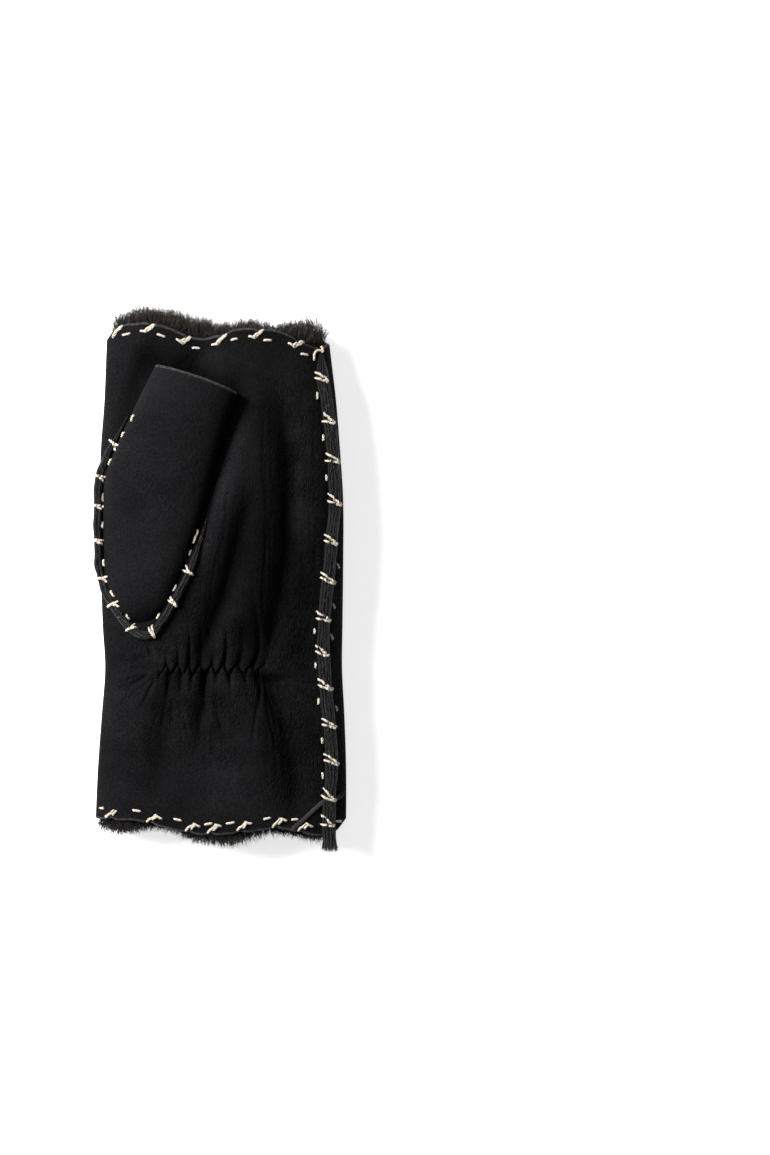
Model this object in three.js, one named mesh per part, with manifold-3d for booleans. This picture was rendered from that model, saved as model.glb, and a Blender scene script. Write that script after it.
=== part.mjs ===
// A shearling fingerless mitten for the left hand, lying palm up with its back flat on the table.
// One hide, leather out and wool in, is folded round the hand and closed by a raised seam on the
// palm side; a second hide makes the thumb. Millimetres: +X is the little-finger side, +Y the
// fingers, +Z up off the table.
import * as THREE from "three";
import { mergeVertices } from "three/addons/utils/BufferGeometryUtils.js";
import Module from "manifold-3d";

const LEATHER = 1.5; // thickness of the tanned skin
const WOOL = 4.8; // depth of the wool left on the inside of the hand
const THUMB_WOOL = 2.4; // the same, clipped shorter inside the thumb
const GAP = 0.3; // play between neighbouring pieces
const WOOL_GAP = 1.1; // play between the skin and the coarser form of the wool
const FOLD_LINE = 0.42; // height of the side folds, as a share of the palm's height
const BACK_FLAT = 1; // how far the round back is pressed into the table
const LOCK_SPREAD = 1.7; // width of a lock along the hem, as a share of its thickness
const SKIN_SINK = 1.2; // how far the wool's body stops short of the hems

// Superellipse powers of the cross-sections: over the palm, under the back, round the thumb.
const PALM_POWER = 2.35;
const BACK_POWER = 2.9;
const THUMB_POWER = 2.3;

// The sleeve from wrist to fingers: its two side folds and the height of the palm.
const SLEEVE = [
  { y: -108, left: -52.7, right: 52.9, height: 27 },
  { y: -80, left: -51.4, right: 52.9, height: 30 },
  { y: -58, left: -49.8, right: 52.2, height: 31 },
  { y: -38, left: -48.4, right: 51.2, height: 30.5 },
  { y: -20, left: -49.4, right: 51.4, height: 31.5 },
  { y: 5, left: -50.2, right: 51.7, height: 33 },
  { y: 32, left: -50.6, right: 51.7, height: 33.5 },
  { y: 53, left: -50.2, right: 50.4, height: 33 },
  { y: 74, left: -48.7, right: 48.7, height: 31 },
  { y: 92, left: -48.0, right: 46.6, height: 29 },
  { y: 107, left: -47.4, right: 44.8, height: 27 },
];

// The cut edges. across runs from -1 at the thumb's fold to 1 at the other; palm and back are
// the y of each edge, and wool the y that the wool behind them reaches.
const FINGER_HEM = [
  { across: -1, palm: 99.6, back: 99.6, wool: 103 },
  { across: -0.9, palm: 105.2, back: 102.2, wool: 109.5 },
  { across: -0.76, palm: 105.9, back: 104.4, wool: 111.7 },
  { across: -0.6, palm: 106.2, back: 103.6, wool: 110.4 },
  { across: -0.45, palm: 104.2, back: 100.2, wool: 108.4 },
  { across: -0.28, palm: 101.2, back: 98.8, wool: 107 },
  { across: -0.13, palm: 99.5, back: 99.2, wool: 106.5 },
  { across: 0.02, palm: 101.2, back: 100.4, wool: 105.6 },
  { across: 0.17, palm: 103.4, back: 102.2, wool: 104.6 },
  { across: 0.32, palm: 103.8, back: 103.2, wool: 105 },
  { across: 0.52, palm: 103.1, back: 102.6, wool: 104.6 },
  { across: 0.68, palm: 100.4, back: 101.6, wool: 106 },
  { across: 0.82, palm: 96.9, back: 100.8, wool: 106.5 },
  { across: 0.92, palm: 95.6, back: 99.6, wool: 105 },
  { across: 1, palm: 97.6, back: 97.6, wool: 100 },
];
const WRIST_HEM = [
  { across: -1, palm: -100.6, back: -100.6, wool: -102 },
  { across: -0.85, palm: -101.3, back: -102.6, wool: -105.8 },
  { across: -0.68, palm: -101.4, back: -101, wool: -105.4 },
  { across: -0.53, palm: -103.2, back: -103.4, wool: -104.6 },
  { across: -0.4, palm: -104.9, back: -104.8, wool: -106 },
  { across: -0.26, palm: -106.6, back: -105.6, wool: -108.6 },
  { across: -0.1, palm: -107.6, back: -105, wool: -110.6 },
  { across: 0.07, palm: -107.1, back: -103.6, wool: -110.9 },
  { across: 0.22, palm: -106.3, back: -101.4, wool: -109.6 },
  { across: 0.38, palm: -105.1, back: -99.9, wool: -106.6 },
  { across: 0.52, palm: -105, back: -100, wool: -107 },
  { across: 0.66, palm: -106.8, back: -101.4, wool: -108.6 },
  { across: 0.8, palm: -107.8, back: -103.2, wool: -109.6 },
  { across: 0.92, palm: -106, back: -103, wool: -108.6 },
  { across: 1, palm: -101, back: -101, wool: -102.4 },
];

// The elastic's gathers across the inside of the wrist. valleys are the x of the tucks below
// its line; those above it lie half a tuck over and lean towards the little finger.
const GATHER = {
  y: -37.8,
  valleys: [-29.4, -25, -20.6, -15.5, -10.9, -5.9, -0.8, 3.8, 9.7, 15.5, 20.2],
  depth: 2.8,
  reach: 6.5, // how far the tucks run from the line
  pinch: 1.8, // how far the line itself is drawn in
  pinchReach: 3.5,
  lean: 0.5,
  leanReach: 9,
};

// Long folds of the palm, each through three points from its wrist end to its finger end.
const PALM_FOLDS = [
  { y: [-38, 0, 40], x: [-8, 1.4, 10.5], depth: 2.6, width: 4.2 }, // beside the thumb
  { y: [-40, 20, 92], x: [15.5, 25.8, 25], depth: 3, width: 6 }, // down the palm's middle
  { y: [-78, -58, -38], x: [-21, -22, -19.5], depth: 1.8, width: 3.6 },
  { y: [-64, -51, -38], x: [-7.2, -5.9, -5.4], depth: 1.8, width: 2.8 },
  { y: [-96, -64, -40], x: [34, 28.4, 16.4], depth: 2.2, width: 4.6 },
  { y: [72, 84, 104], x: [-16, -12, -7.5], depth: 1.6, width: 7 }, // under the notch in the hem
  { y: [34, 70, 116], x: [-25, -14, -6], depth: 4, width: 14 }, // where the thumb lies
];

// The thumb from its root to its open tip. left and right are the [x, y] of its two side
// folds, leftZ and rightZ their heights, rise and drop the bulge over and under them.
const THUMB = [
  { left: [-36.4, -22.6], right: [-29.4, -22.8], leftZ: 19.6, rightZ: 20.6, rise: 3.4, drop: 4 },
  { left: [-41.4, -16.4], right: [-25.2, -17.0], leftZ: 22, rightZ: 25, rise: 7.2, drop: 8 },
  { left: [-45.6, -8.8], right: [-20.2, -9.2], leftZ: 20.8, rightZ: 27, rise: 9.8, drop: 11 },
  { left: [-48.2, 1.0], right: [-15.6, 0.4], leftZ: 19, rightZ: 27.6, rise: 12.4, drop: 13 },
  { left: [-48.9, 14.0], right: [-11.2, 11.4], leftZ: 18.4, rightZ: 28, rise: 13.8, drop: 13 },
  { left: [-48.9, 27.6], right: [-7.6, 22.4], leftZ: 20, rightZ: 31, rise: 13.4, drop: 12 },
  { left: [-47.9, 41.6], right: [-4.6, 34.8], leftZ: 25, rightZ: 33.5, rise: 12, drop: 9.4 },
  { left: [-42.6, 55.4], right: [-1.8, 46.4], leftZ: 31, rightZ: 35.4, rise: 10.8, drop: 8.6 },
  { left: [-36.5, 68.6], right: [1.3, 57.8], leftZ: 35, rightZ: 36.4, rise: 10, drop: 8.4 },
  { left: [-31.2, 79.6], right: [4.6, 68.2], leftZ: 36.4, rightZ: 36.8, rise: 9.8, drop: 8.6 },
  { left: [-26.5, 88.8], right: [7.8, 77.8], leftZ: 36.8, rightZ: 37, rise: 9.8, drop: 8.8 },
];

// The raised seam that closes the sleeve, from finger hem to wrist.
const SIDE_SEAM = [
  { y: 96.6, x: 42.2 },
  { y: 83.6, x: 43.1 },
  { y: 65.9, x: 46 },
  { y: 49.6, x: 47.5 },
  { y: 32.3, x: 48.2 },
  { y: 15.5, x: 46.8 },
  { y: -1.3, x: 45.4 },
  { y: -16.8, x: 43.7 },
  { y: -31.1, x: 43.4 },
  { y: -45.4, x: 44.3 },
  { y: -60.9, x: 45.8 },
  { y: -76.9, x: 46.9 },
  { y: -91.1, x: 46 },
  { y: -103, x: 45.7 },
  { y: -111.4, x: 45.9 },
];
const SIDE_SEAM_SIZE = { width: 5, height: 4.2, root: 3, steps: 30 };

// The raised seam round the thumb's root: down its outer side, round the bottom and up.
const THUMB_SEAM = [
  [-38.4, 67.4],
  [-42.3, 60.2],
  [-46.4, 52.4],
  [-49.8, 45],
  [-51.2, 36],
  [-51.3, 26],
  [-51.2, 14],
  [-50.6, 4],
  [-48.6, -4.4],
  [-45, -11.4],
  [-40.6, -17.6],
  [-35.4, -23],
  [-30.6, -24.4],
  [-26, -21.2],
  [-21.8, -15.2],
  [-17.4, -7.4],
  [-13.2, 0.6],
  [-9.8, 9.4],
  [-7, 18.6],
  [-5, 27],
  [-3.6, 35],
];
const THUMB_SEAM_SIZE = { width: 3.6, height: 3.2, root: 2.4, steps: 38 };

// Grid counts of the faceted solids.
const PALM_EDGE = 7;
const AROUND_BACK = 9;
const LINE_ROWS = [0.0045, 0.017, 0.038, 0.075];
const FAR_ROWS = [0, 0.06, 0.15, 0.43, 0.52, 0.62, 0.72, 0.82, 0.92, 1];
const WOOL_AROUND = 25;
const WOOL_ROWS = [0, 0.11, 0.22, 0.285, 0.315, 0.345, 0.42, 0.57, 0.75, 0.9, 1];
const THUMB_AROUND = 20;
const THUMB_ALONG = 13;
const THUMB_WOOL_AROUND = 14;
const THUMB_WOOL_ALONG = 10;
const HEM_LOCKS = 25;
const THUMB_LOCKS = 9;

const clamp = THREE.MathUtils.clamp;
const lerp = THREE.MathUtils.lerp;
const smoothstep = THREE.MathUtils.smoothstep;
const even = (count) => Array.from({ length: count }, (_, i) => i / count);
const evenRows = (count) => Array.from({ length: count }, (_, i) => i / (count - 1));
const power = (value, exponent) => Math.sign(value) * Math.abs(value) ** exponent;

// A smooth value of one column of a table, where another column, rising, has the value at.
function along(table, key, column, at) {
  const last = table.length - 1;
  const place = clamp(at, table[0][key], table[last][key]);
  let i = 0;
  while (i < last - 1 && place > table[i + 1][key]) i += 1;
  const slope = (j) => {
    const low = table[Math.max(j - 1, 0)];
    const high = table[Math.min(j + 1, last)];
    return (high[column] - low[column]) / (high[key] - low[key]);
  };
  const [p, q] = [table[i], table[i + 1]];
  const span = q[key] - p[key];
  const t = (place - p[key]) / span;
  const ease = t * t * (3 - 2 * t);
  const bend = slope(i) * t * (1 - t) ** 2 - slope(i + 1) * t * t * (1 - t);
  return lerp(p[column], q[column], ease) + bend * span;
}

// How far the skin at y leans over with the tucks above the gathers' line.
function lean(y) {
  const off = Math.max(y - GATHER.y, 0);
  return GATHER.lean * off * Math.exp(-off / GATHER.leanReach);
}

// The tucks that the elastic draws up; the two sides of its line interlock by half a tuck.
function gatherDepth(x, y, smooth) {
  const { valleys } = GATHER;
  const off = y - GATHER.y;
  const home = x - lean(y);
  const last = valleys.length - 1;
  const line = GATHER.pinch * Math.exp(-((off / GATHER.pinchReach) ** 2));
  const fade = Math.exp(-Math.abs(off) / GATHER.reach);
  if (smooth) {
    const near = smoothstep(home, valleys[0] - 8, valleys[0] + 1);
    return near * (1 - smoothstep(home, valleys[last] - 1, valleys[last] + 8)) *
      (line + GATHER.depth * fade);
  }
  if (home <= valleys[0] || home >= valleys[last]) return 0;
  const i = valleys.findIndex((valley) => home < valley) - 1;
  const phase = 2 * Math.PI * ((home - valleys[i]) / (valleys[i + 1] - valleys[i]));
  const ends =
    smoothstep(home, valleys[0], valleys[1]) *
    (1 - smoothstep(home, valleys[last - 1], valleys[last]));
  const side = lerp(1, -1, smoothstep(off, -1.4, 1.4));
  const tuck = 0.5 + 0.5 * side * Math.cos(phase);
  return ends * (line + GATHER.depth * tuck * fade);
}

// How far a long fold sinks the palm at x, y; smooth makes it wider and longer.
function foldDepth(fold, x, y, smooth) {
  const [y0, y1, y2] = fold.y;
  const [x0, x1, x2] = fold.x;
  const t = (y - y0) / (y2 - y0);
  const at = clamp(y, y0, y2);
  const line =
    (x0 * (at - y1) * (at - y2)) / ((y0 - y1) * (y0 - y2)) +
    (x1 * (at - y0) * (at - y2)) / ((y1 - y0) * (y1 - y2)) +
    (x2 * (at - y0) * (at - y1)) / ((y2 - y0) * (y2 - y1));
  const [start, end] = smooth ? [-0.5, 1.3] : [0, 1];
  const fade = smoothstep(t, start, start + 0.12) * (1 - smoothstep(t, end - 0.4, end));
  const width = fold.width + (smooth ? 4 : 0);
  return fold.depth * fade * Math.exp(-(((x - line) / width) ** 2));
}

// How far the palm's folds and gathers sink it; smooth gives their lower envelope.
function palmSink(x, y, smooth = false) {
  const folds = PALM_FOLDS.reduce((sum, fold) => sum + foldDepth(fold, x, y, smooth), 0);
  return folds + gatherDepth(x, y, smooth);
}

// The sleeve's cross-section at y, taken in by inset on every side.
function section(y, inset) {
  const left = along(SLEEVE, "y", "left", y) + inset;
  const right = along(SLEEVE, "y", "right", y) - inset;
  const height = along(SLEEVE, "y", "height", y);
  const fold = height * FOLD_LINE;
  return {
    middle: (left + right) / 2,
    half: (right - left) / 2,
    fold,
    up: height - fold - inset,
    down: fold - inset + BACK_FLAT,
    floor: inset,
  };
}

// A point of the sleeve. turn goes once round from the little-finger fold over the palm, and
// share from the wrist hem, 0, to the finger hem, 1, with extra mm past either.
function sleevePoint(turn, share, { inset = 0, smooth = false, extra = 0 } = {}) {
  const angle = turn * 2 * Math.PI;
  const [c, s] = [Math.cos(angle), Math.sin(angle)];
  const exponent = 2 / (s >= 0 ? PALM_POWER : BACK_POWER);
  const across = power(c, exponent);
  const edge = s >= 0 ? "palm" : "back";
  const wrist = along(WRIST_HEM, "across", edge, across) - extra;
  const finger = along(FINGER_HEM, "across", edge, across) + extra;
  const y = lerp(wrist, finger, share);
  const cut = section(y, inset);
  if (s < 0) {
    const z = cut.fold + power(s, exponent) * cut.down;
    return new THREE.Vector3(cut.middle + across * cut.half, y, Math.max(z, cut.floor));
  }
  const leant = across + (lean(y) * (1 - across ** 4)) / cut.half;
  const rise = (1 - Math.abs(leant) ** PALM_POWER) ** (1 / PALM_POWER);
  const x = cut.middle + leant * cut.half;
  const sink = smoothstep(s, 0.05, 0.55) * palmSink(x, y, smooth);
  return new THREE.Vector3(x, y, cut.fold + rise * cut.up - sink);
}

// Height of the palm's skin over the table at x, y.
function palmHeight(x, y) {
  const cut = section(y, 0);
  const across = clamp((x - cut.middle) / cut.half, -0.985, 0.985);
  const s = (1 - Math.abs(across) ** PALM_POWER) ** (1 / PALM_POWER);
  const sink = smoothstep(s ** (PALM_POWER / 2), 0.05, 0.55) * palmSink(x, y);
  return cut.fold + s * cut.up - sink;
}

// A closed surface through rings of points: a solid with its two ends capped, or, where
// looped is true, a ring of rings that closes on itself.
function skin(rings, looped = false) {
  const count = rings[0].length;
  const positions = [];
  const face = (a, b, c) => positions.push(...a.toArray(), ...b.toArray(), ...c.toArray());
  const last = looped ? rings.length : rings.length - 1;
  for (let i = 0; i < last; i += 1) {
    const [low, high] = [rings[i], rings[(i + 1) % rings.length]];
    for (let j = 0; j < count; j += 1) {
      const k = (j + 1) % count;
      face(low[j], low[k], high[k]);
      face(low[j], high[k], high[j]);
    }
  }
  if (!looped) {
    const middle = (ring) => ring.reduce((sum, p) => sum.add(p), new THREE.Vector3()).divideScalar(count);
    const [start, end] = [middle(rings[0]), middle(rings.at(-1))];
    for (let j = 0; j < count; j += 1) {
      const k = (j + 1) % count;
      face(rings[0][k], rings[0][j], start);
      face(rings.at(-1)[j], rings.at(-1)[k], end);
    }
  }
  const geometry = new THREE.BufferGeometry();
  geometry.setAttribute("position", new THREE.Float32BufferAttribute(positions, 3));
  return geometry;
}

const wasm = await Module();
wasm.setup();

// A closed geometry as a solid for cutting and joining, turned to face out if need be.
function solid(geometry) {
  const plain = geometry.index ? geometry.toNonIndexed() : geometry.clone();
  plain.deleteAttribute("normal");
  plain.deleteAttribute("uv");
  const merged = mergeVertices(plain, 1e-4);
  const make = (triVerts) =>
    new wasm.Manifold(
      new wasm.Mesh({ numProp: 3, vertProperties: merged.attributes.position.array, triVerts }),
    );
  const made = make(new Uint32Array(merged.index.array));
  return made.volume() > 0 ? made : make(new Uint32Array(merged.index.array).reverse());
}

// A solid as a named mesh.
function piece(name, made, material) {
  const { vertProperties, triVerts } = made.getMesh();
  const geometry = new THREE.BufferGeometry();
  geometry.setAttribute("position", new THREE.Float32BufferAttribute(vertProperties, 3));
  geometry.setIndex(new THREE.Uint32BufferAttribute(triVerts, 1));
  geometry.computeVertexNormals();
  const mesh = new THREE.Mesh(geometry, material);
  mesh.name = name;
  return mesh;
}

// Turns of the sleeve's grid: one on each crest and valley of the gathers, and evenly beyond.
function sleeveTurns() {
  const { valleys } = GATHER;
  const cut = section(GATHER.y, 0);
  const tucks = valleys.flatMap((x, i) => (i === 0 ? [x] : [(x + valleys[i - 1]) / 2, x]));
  const turnAt = (x) => {
    const across = (x - cut.middle) / cut.half;
    return Math.acos(power(across, PALM_POWER / 2)) / (2 * Math.PI);
  };
  const gathered = tucks.map(turnAt).reverse();
  const right = even(PALM_EDGE).map((t) => t * gathered[0]);
  const left = even(PALM_EDGE).map((t) => 0.5 - (1 - t) * (0.5 - gathered.at(-1)));
  const back = even(AROUND_BACK).map((t) => 0.5 + 0.5 * t);
  return [...right, ...gathered, ...left.slice(1), ...back];
}

// Rows of the sleeve's grid as shares of its length: LINE_ROWS on either side of the gathers'
// line and FAR_ROWS beyond.
function sleeveRows() {
  const line = (GATHER.y - WRIST_HEM[0].palm) / (FINGER_HEM[0].palm - WRIST_HEM[0].palm);
  const near = LINE_ROWS.flatMap((d) => [line - d, line + d]);
  return [...near, ...FAR_ROWS].sort((a, b) => a - b);
}

// The sleeve's outer form as one closed solid, taken in by inset and run on past both hems.
function sleeveSolid(inset, runOn) {
  const ring = (share, extra) => sleeveTurns().map((t) => sleevePoint(t, share, { inset, extra }));
  const rows = sleeveRows().map((share) => ring(share, 0));
  return solid(skin([ring(0, runOn), ...rows, ring(1, runOn)]));
}

// A hollow sleeve between two insets, open at both hems.
function sleeveWall(turns, rows, outside, inside) {
  const wall = (options) => rows.map((row) => turns.map((t) => sleevePoint(t, row, options)));
  return solid(skin([...wall(outside), ...wall(inside).reverse()], true));
}

// The thumb's form as one closed solid, taken in by inset and run on past its open tip.
function thumbSolid(inset, runOn = 0, steps = THUMB_ALONG, around = THUMB_AROUND) {
  const rows = THUMB.map((row, i) => ({ ...row, at: i / (THUMB.length - 1) }));
  const flat = rows.map(({ left, right, ...rest }) => ({
    ...rest,
    leftX: left[0],
    leftY: left[1],
    rightX: right[0],
    rightY: right[1],
  }));
  const row = (at) => {
    const value = (column) => along(flat, "at", column, at);
    return {
      left: new THREE.Vector3(value("leftX"), value("leftY"), value("leftZ")),
      right: new THREE.Vector3(value("rightX"), value("rightY"), value("rightZ")),
      rise: value("rise"),
      drop: value("drop"),
    };
  };
  const ring = ({ left, right, rise, drop }, shift) => {
    const middle = left.clone().add(right).multiplyScalar(0.5).add(shift);
    const half = right.clone().sub(left).multiplyScalar(0.5);
    const scale = Math.max(1 - inset / half.length(), 0.05);
    return even(around).map((turn) => {
      const angle = turn * 2 * Math.PI;
      const c = power(Math.cos(angle), 2 / THUMB_POWER);
      const s = power(Math.sin(angle), 2 / THUMB_POWER);
      const bulge = Math.max((s > 0 ? rise : drop) - inset, 0.2);
      return middle.clone().addScaledVector(half, c * scale).add(new THREE.Vector3(0, 0, s * bulge));
    });
  };
  const still = new THREE.Vector3();
  const rings = evenRows(steps).map((at) => ring(row(at), still));
  if (runOn > 0) {
    const [before, tip] = [row(0.9), row(1)];
    const way = tip.left.clone().add(tip.right).sub(before.left).sub(before.right).normalize();
    rings.push(ring(tip, way.multiplyScalar(runOn)));
  }
  return solid(skin(rings));
}

// A raised seam along a path in plan: ribs of cut skin and wool standing on what lies under.
function seamRidge(path, { width, height, root, steps }, ribs) {
  const curve = new THREE.CatmullRomCurve3(path.map(([x, y]) => new THREE.Vector3(x, y, 0)));
  const rings = evenRows(steps).map((at) => {
    const point = curve.getPointAt(at);
    const way = curve.getTangentAt(at);
    const side = new THREE.Vector3(way.y, -way.x, 0);
    const foot = palmHeight(point.x, point.y);
    const place = (off, up) =>
      point.clone().addScaledVector(side, off).setZ(foot + up);
    const crest = evenRows(2 * ribs + 1).map((t, i) => {
      const edge = i === 0 || i === 2 * ribs ? 0.66 : 1;
      const groove = i > 0 && i < 2 * ribs && i % 2 === 0 ? 0.78 : 1;
      return place((t - 0.5) * width, height * edge * groove);
    });
    return [place(-width / 2, -root), ...crest, place(width / 2, -root)];
  });
  return solid(skin(rings));
}

// One blunt lock of wool from its root to its tip, wider along the hem than it is thick.
function lock(root, tip, hemWay, radius) {
  const way = tip.clone().sub(root);
  const length = way.length();
  const profile = [
    [0, 0],
    [radius, length - radius * 1.1],
    [radius * 0.72, length - radius * 0.3],
    [0, length],
  ].map(([r, z]) => new THREE.Vector2(r, z));
  const geometry = new THREE.LatheGeometry(profile, 6);
  const normal = hemWay.clone().cross(way).normalize();
  const side = way.clone().cross(normal).normalize();
  geometry.scale(LOCK_SPREAD, 1, 1);
  geometry.applyMatrix4(new THREE.Matrix4().makeBasis(side, way.normalize(), normal));
  geometry.translate(root.x, root.y, root.z);
  return solid(geometry);
}

// Turns that part the sleeve's section into equal lengths.
function equalTurns(count, options) {
  const fine = even(720);
  const points = fine.map((turn) => sleevePoint(turn, 0.5, options));
  const lengths = points.map((p, i) => p.distanceTo(points.at(i - 1)));
  const total = lengths.reduce((sum, each) => sum + each, 0);
  let run = 0;
  const runs = lengths.map((each) => (run += each));
  return even(count).map((share) => fine[runs.findIndex((each) => each > share * total)]);
}

// Locks of the sleeve's wool that stand out of one hem, the share being 0 or 1 of its length.
function hemLocks(hem, share) {
  const sign = share === 1 ? 1 : -1;
  const inset = LEATHER + WOOL_GAP + WOOL / 2;
  return equalTurns(HEM_LOCKS, { inset }).map((turn, i) => {
    const at = sleevePoint(turn, share, { inset, smooth: true });
    const across = power(Math.cos(turn * 2 * Math.PI), 2 / PALM_POWER);
    const reach = along(hem, "across", "wool", across);
    const uneven = 0.8 * Math.sin(i * 2.4) - 0.6;
    const length = Math.max(sign * (reach - at.y) + uneven, 1.2);
    const root = at.clone().setY(at.y - sign * 6);
    const tip = at.clone().add(new THREE.Vector3(Math.sin(i * 1.7), sign * length, 0));
    const next = sleevePoint(turn + 0.004, share, { inset, smooth: true });
    return lock(root, tip, next.sub(at), WOOL * (0.5 + 0.05 * Math.sin(i * 3.1)));
  });
}

// The hand's sleeve of skin, with the hole that the thumb opens into.
function handShell(thumbRoom) {
  const wall = sleeveWall(sleeveTurns(), sleeveRows(), { inset: 0 }, { inset: LEATHER });
  return wall.subtract(thumbRoom);
}

// The wool inside the hand, one backing with locks out of both hems.
function handWool(thumbRoom) {
  const outside = { inset: LEATHER + WOOL_GAP, smooth: true, extra: -SKIN_SINK };
  const inside = { inset: LEATHER + WOOL_GAP + WOOL, smooth: true, extra: -SKIN_SINK };
  const sleeve = sleeveWall(equalTurns(WOOL_AROUND, outside), WOOL_ROWS, outside, inside);
  const locks = [...hemLocks(FINGER_HEM, 1), ...hemLocks(WRIST_HEM, 0)];
  return locks.reduce((sum, each) => sum.add(each), sleeve.subtract(thumbRoom));
}

// The thumb's skin, open at its tip and into the hand.
function thumbShell(hand) {
  return thumbSolid(0).subtract(thumbSolid(LEATHER, 8)).subtract(hand);
}

// The wool inside the thumb, with a few short locks at its tip.
function thumbWool(hand) {
  const outer = LEATHER + WOOL_GAP;
  const grid = [THUMB_WOOL_ALONG, THUMB_WOOL_AROUND];
  const hollow = thumbSolid(outer + THUMB_WOOL, 8, ...grid);
  const body = thumbSolid(outer, 0.4, ...grid).subtract(hollow);
  const tip = THUMB.at(-1);
  const left = new THREE.Vector3(...tip.left, tip.leftZ);
  const right = new THREE.Vector3(...tip.right, tip.rightZ);
  const middle = left.clone().add(right).multiplyScalar(0.5);
  const half = right.clone().sub(left).multiplyScalar(0.5);
  const way = new THREE.Vector3(-half.y, half.x, 0).normalize();
  const scale = 1 - (outer + THUMB_WOOL / 2) / half.length();
  const locks = even(THUMB_LOCKS).map((turn, i) => {
    const angle = turn * 2 * Math.PI;
    const bulge = (Math.sin(angle) > 0 ? tip.rise : tip.drop) - outer - THUMB_WOOL / 2;
    const root = middle
      .clone()
      .addScaledVector(half, power(Math.cos(angle), 2 / THUMB_POWER) * scale)
      .add(new THREE.Vector3(0, 0, power(Math.sin(angle), 2 / THUMB_POWER) * bulge));
    const end = root.clone().addScaledVector(way, 1.7 + 0.6 * Math.sin(i * 2.1));
    const hemWay = half.clone().multiplyScalar(-Math.sin(angle)).setZ(2 * Math.cos(angle) * bulge);
    return lock(root.addScaledVector(way, -3.5), end, hemWay, THUMB_WOOL * 0.44);
  });
  return locks.reduce((sum, each) => sum.add(each), body).subtract(hand);
}

function sideSeam(hand) {
  const path = SIDE_SEAM.map(({ x, y }) => [x, y]);
  return seamRidge(path, SIDE_SEAM_SIZE, 3).subtract(hand);
}

function thumbSeam(hand, thumb) {
  return seamRidge(THUMB_SEAM, THUMB_SEAM_SIZE, 2).subtract(hand).subtract(thumb);
}

const suede = new THREE.MeshStandardMaterial({ color: 0x151416, roughness: 0.85, metalness: 0 });
const rawEdge = new THREE.MeshStandardMaterial({ color: 0x1d1d20, roughness: 0.95, metalness: 0 });
const wool = new THREE.MeshStandardMaterial({ color: 0x1c1918, roughness: 1, metalness: 0 });

const handWithPlay = sleeveSolid(-GAP, 12);
const thumbRoom = thumbSolid(LEATHER, 8);

const mitten = new THREE.Group();
mitten.add(
  piece("hand_shell", handShell(thumbRoom), suede),
  piece("hand_wool", handWool(thumbRoom), wool),
  piece("thumb_shell", thumbShell(handWithPlay), suede),
  piece("thumb_wool", thumbWool(handWithPlay), wool),
  piece("side_seam", sideSeam(handWithPlay), rawEdge),
  piece("thumb_seam", thumbSeam(handWithPlay, thumbSolid(-GAP)), rawEdge),
);

// The origin is the middle of the mitten's footprint on the table.
const bounds = new THREE.Box3().setFromObject(mitten);
const middle = bounds.getCenter(new THREE.Vector3());
mitten.position.set(-middle.x, -middle.y, -bounds.min.z);

export default mitten;
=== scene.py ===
"""The looks of a shearling fingerless mitten for the left hand, lying palm up.

Its skins, wool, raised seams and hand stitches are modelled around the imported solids, in the
same frame: +X is the little-finger side, +Y the fingers and +Z up off the table. The tables
are in millimetres, and MM turns them into metres.
"""

from __future__ import annotations

import logging
import math
from abc import ABC, abstractmethod
from dataclasses import dataclass, field
from enum import Enum
from typing import Any, Callable, Sequence

import bmesh
import bpy
import numpy as np
from mathutils import Matrix, Vector
from mathutils.bvhtree import BVHTree

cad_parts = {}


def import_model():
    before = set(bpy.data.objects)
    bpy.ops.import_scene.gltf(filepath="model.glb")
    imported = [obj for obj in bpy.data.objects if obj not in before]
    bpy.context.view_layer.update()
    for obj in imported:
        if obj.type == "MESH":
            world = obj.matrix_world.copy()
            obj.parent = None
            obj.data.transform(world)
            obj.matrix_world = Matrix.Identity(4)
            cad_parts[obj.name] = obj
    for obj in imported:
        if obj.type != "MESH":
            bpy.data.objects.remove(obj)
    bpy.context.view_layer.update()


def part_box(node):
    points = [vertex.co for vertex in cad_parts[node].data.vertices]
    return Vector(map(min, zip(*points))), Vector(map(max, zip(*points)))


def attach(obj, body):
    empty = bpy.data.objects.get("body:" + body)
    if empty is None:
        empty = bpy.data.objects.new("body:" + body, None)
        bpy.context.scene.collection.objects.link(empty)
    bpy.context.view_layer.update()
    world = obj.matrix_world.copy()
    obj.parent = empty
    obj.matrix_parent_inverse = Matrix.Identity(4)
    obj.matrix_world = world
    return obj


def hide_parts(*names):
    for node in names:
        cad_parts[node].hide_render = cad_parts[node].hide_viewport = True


log = logging.getLogger("mitten")

Array = np.ndarray
Place = tuple[float, float]
Colour = tuple[float, float, float]

MM = 0.001
BODY = "root"

# How thick the skin and the wool are, and how far apart.
LEATHER = 1.5
WOOL_GAP = 1.1
WOOL = 4.8
THUMB_WOOL = 2.4


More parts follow.
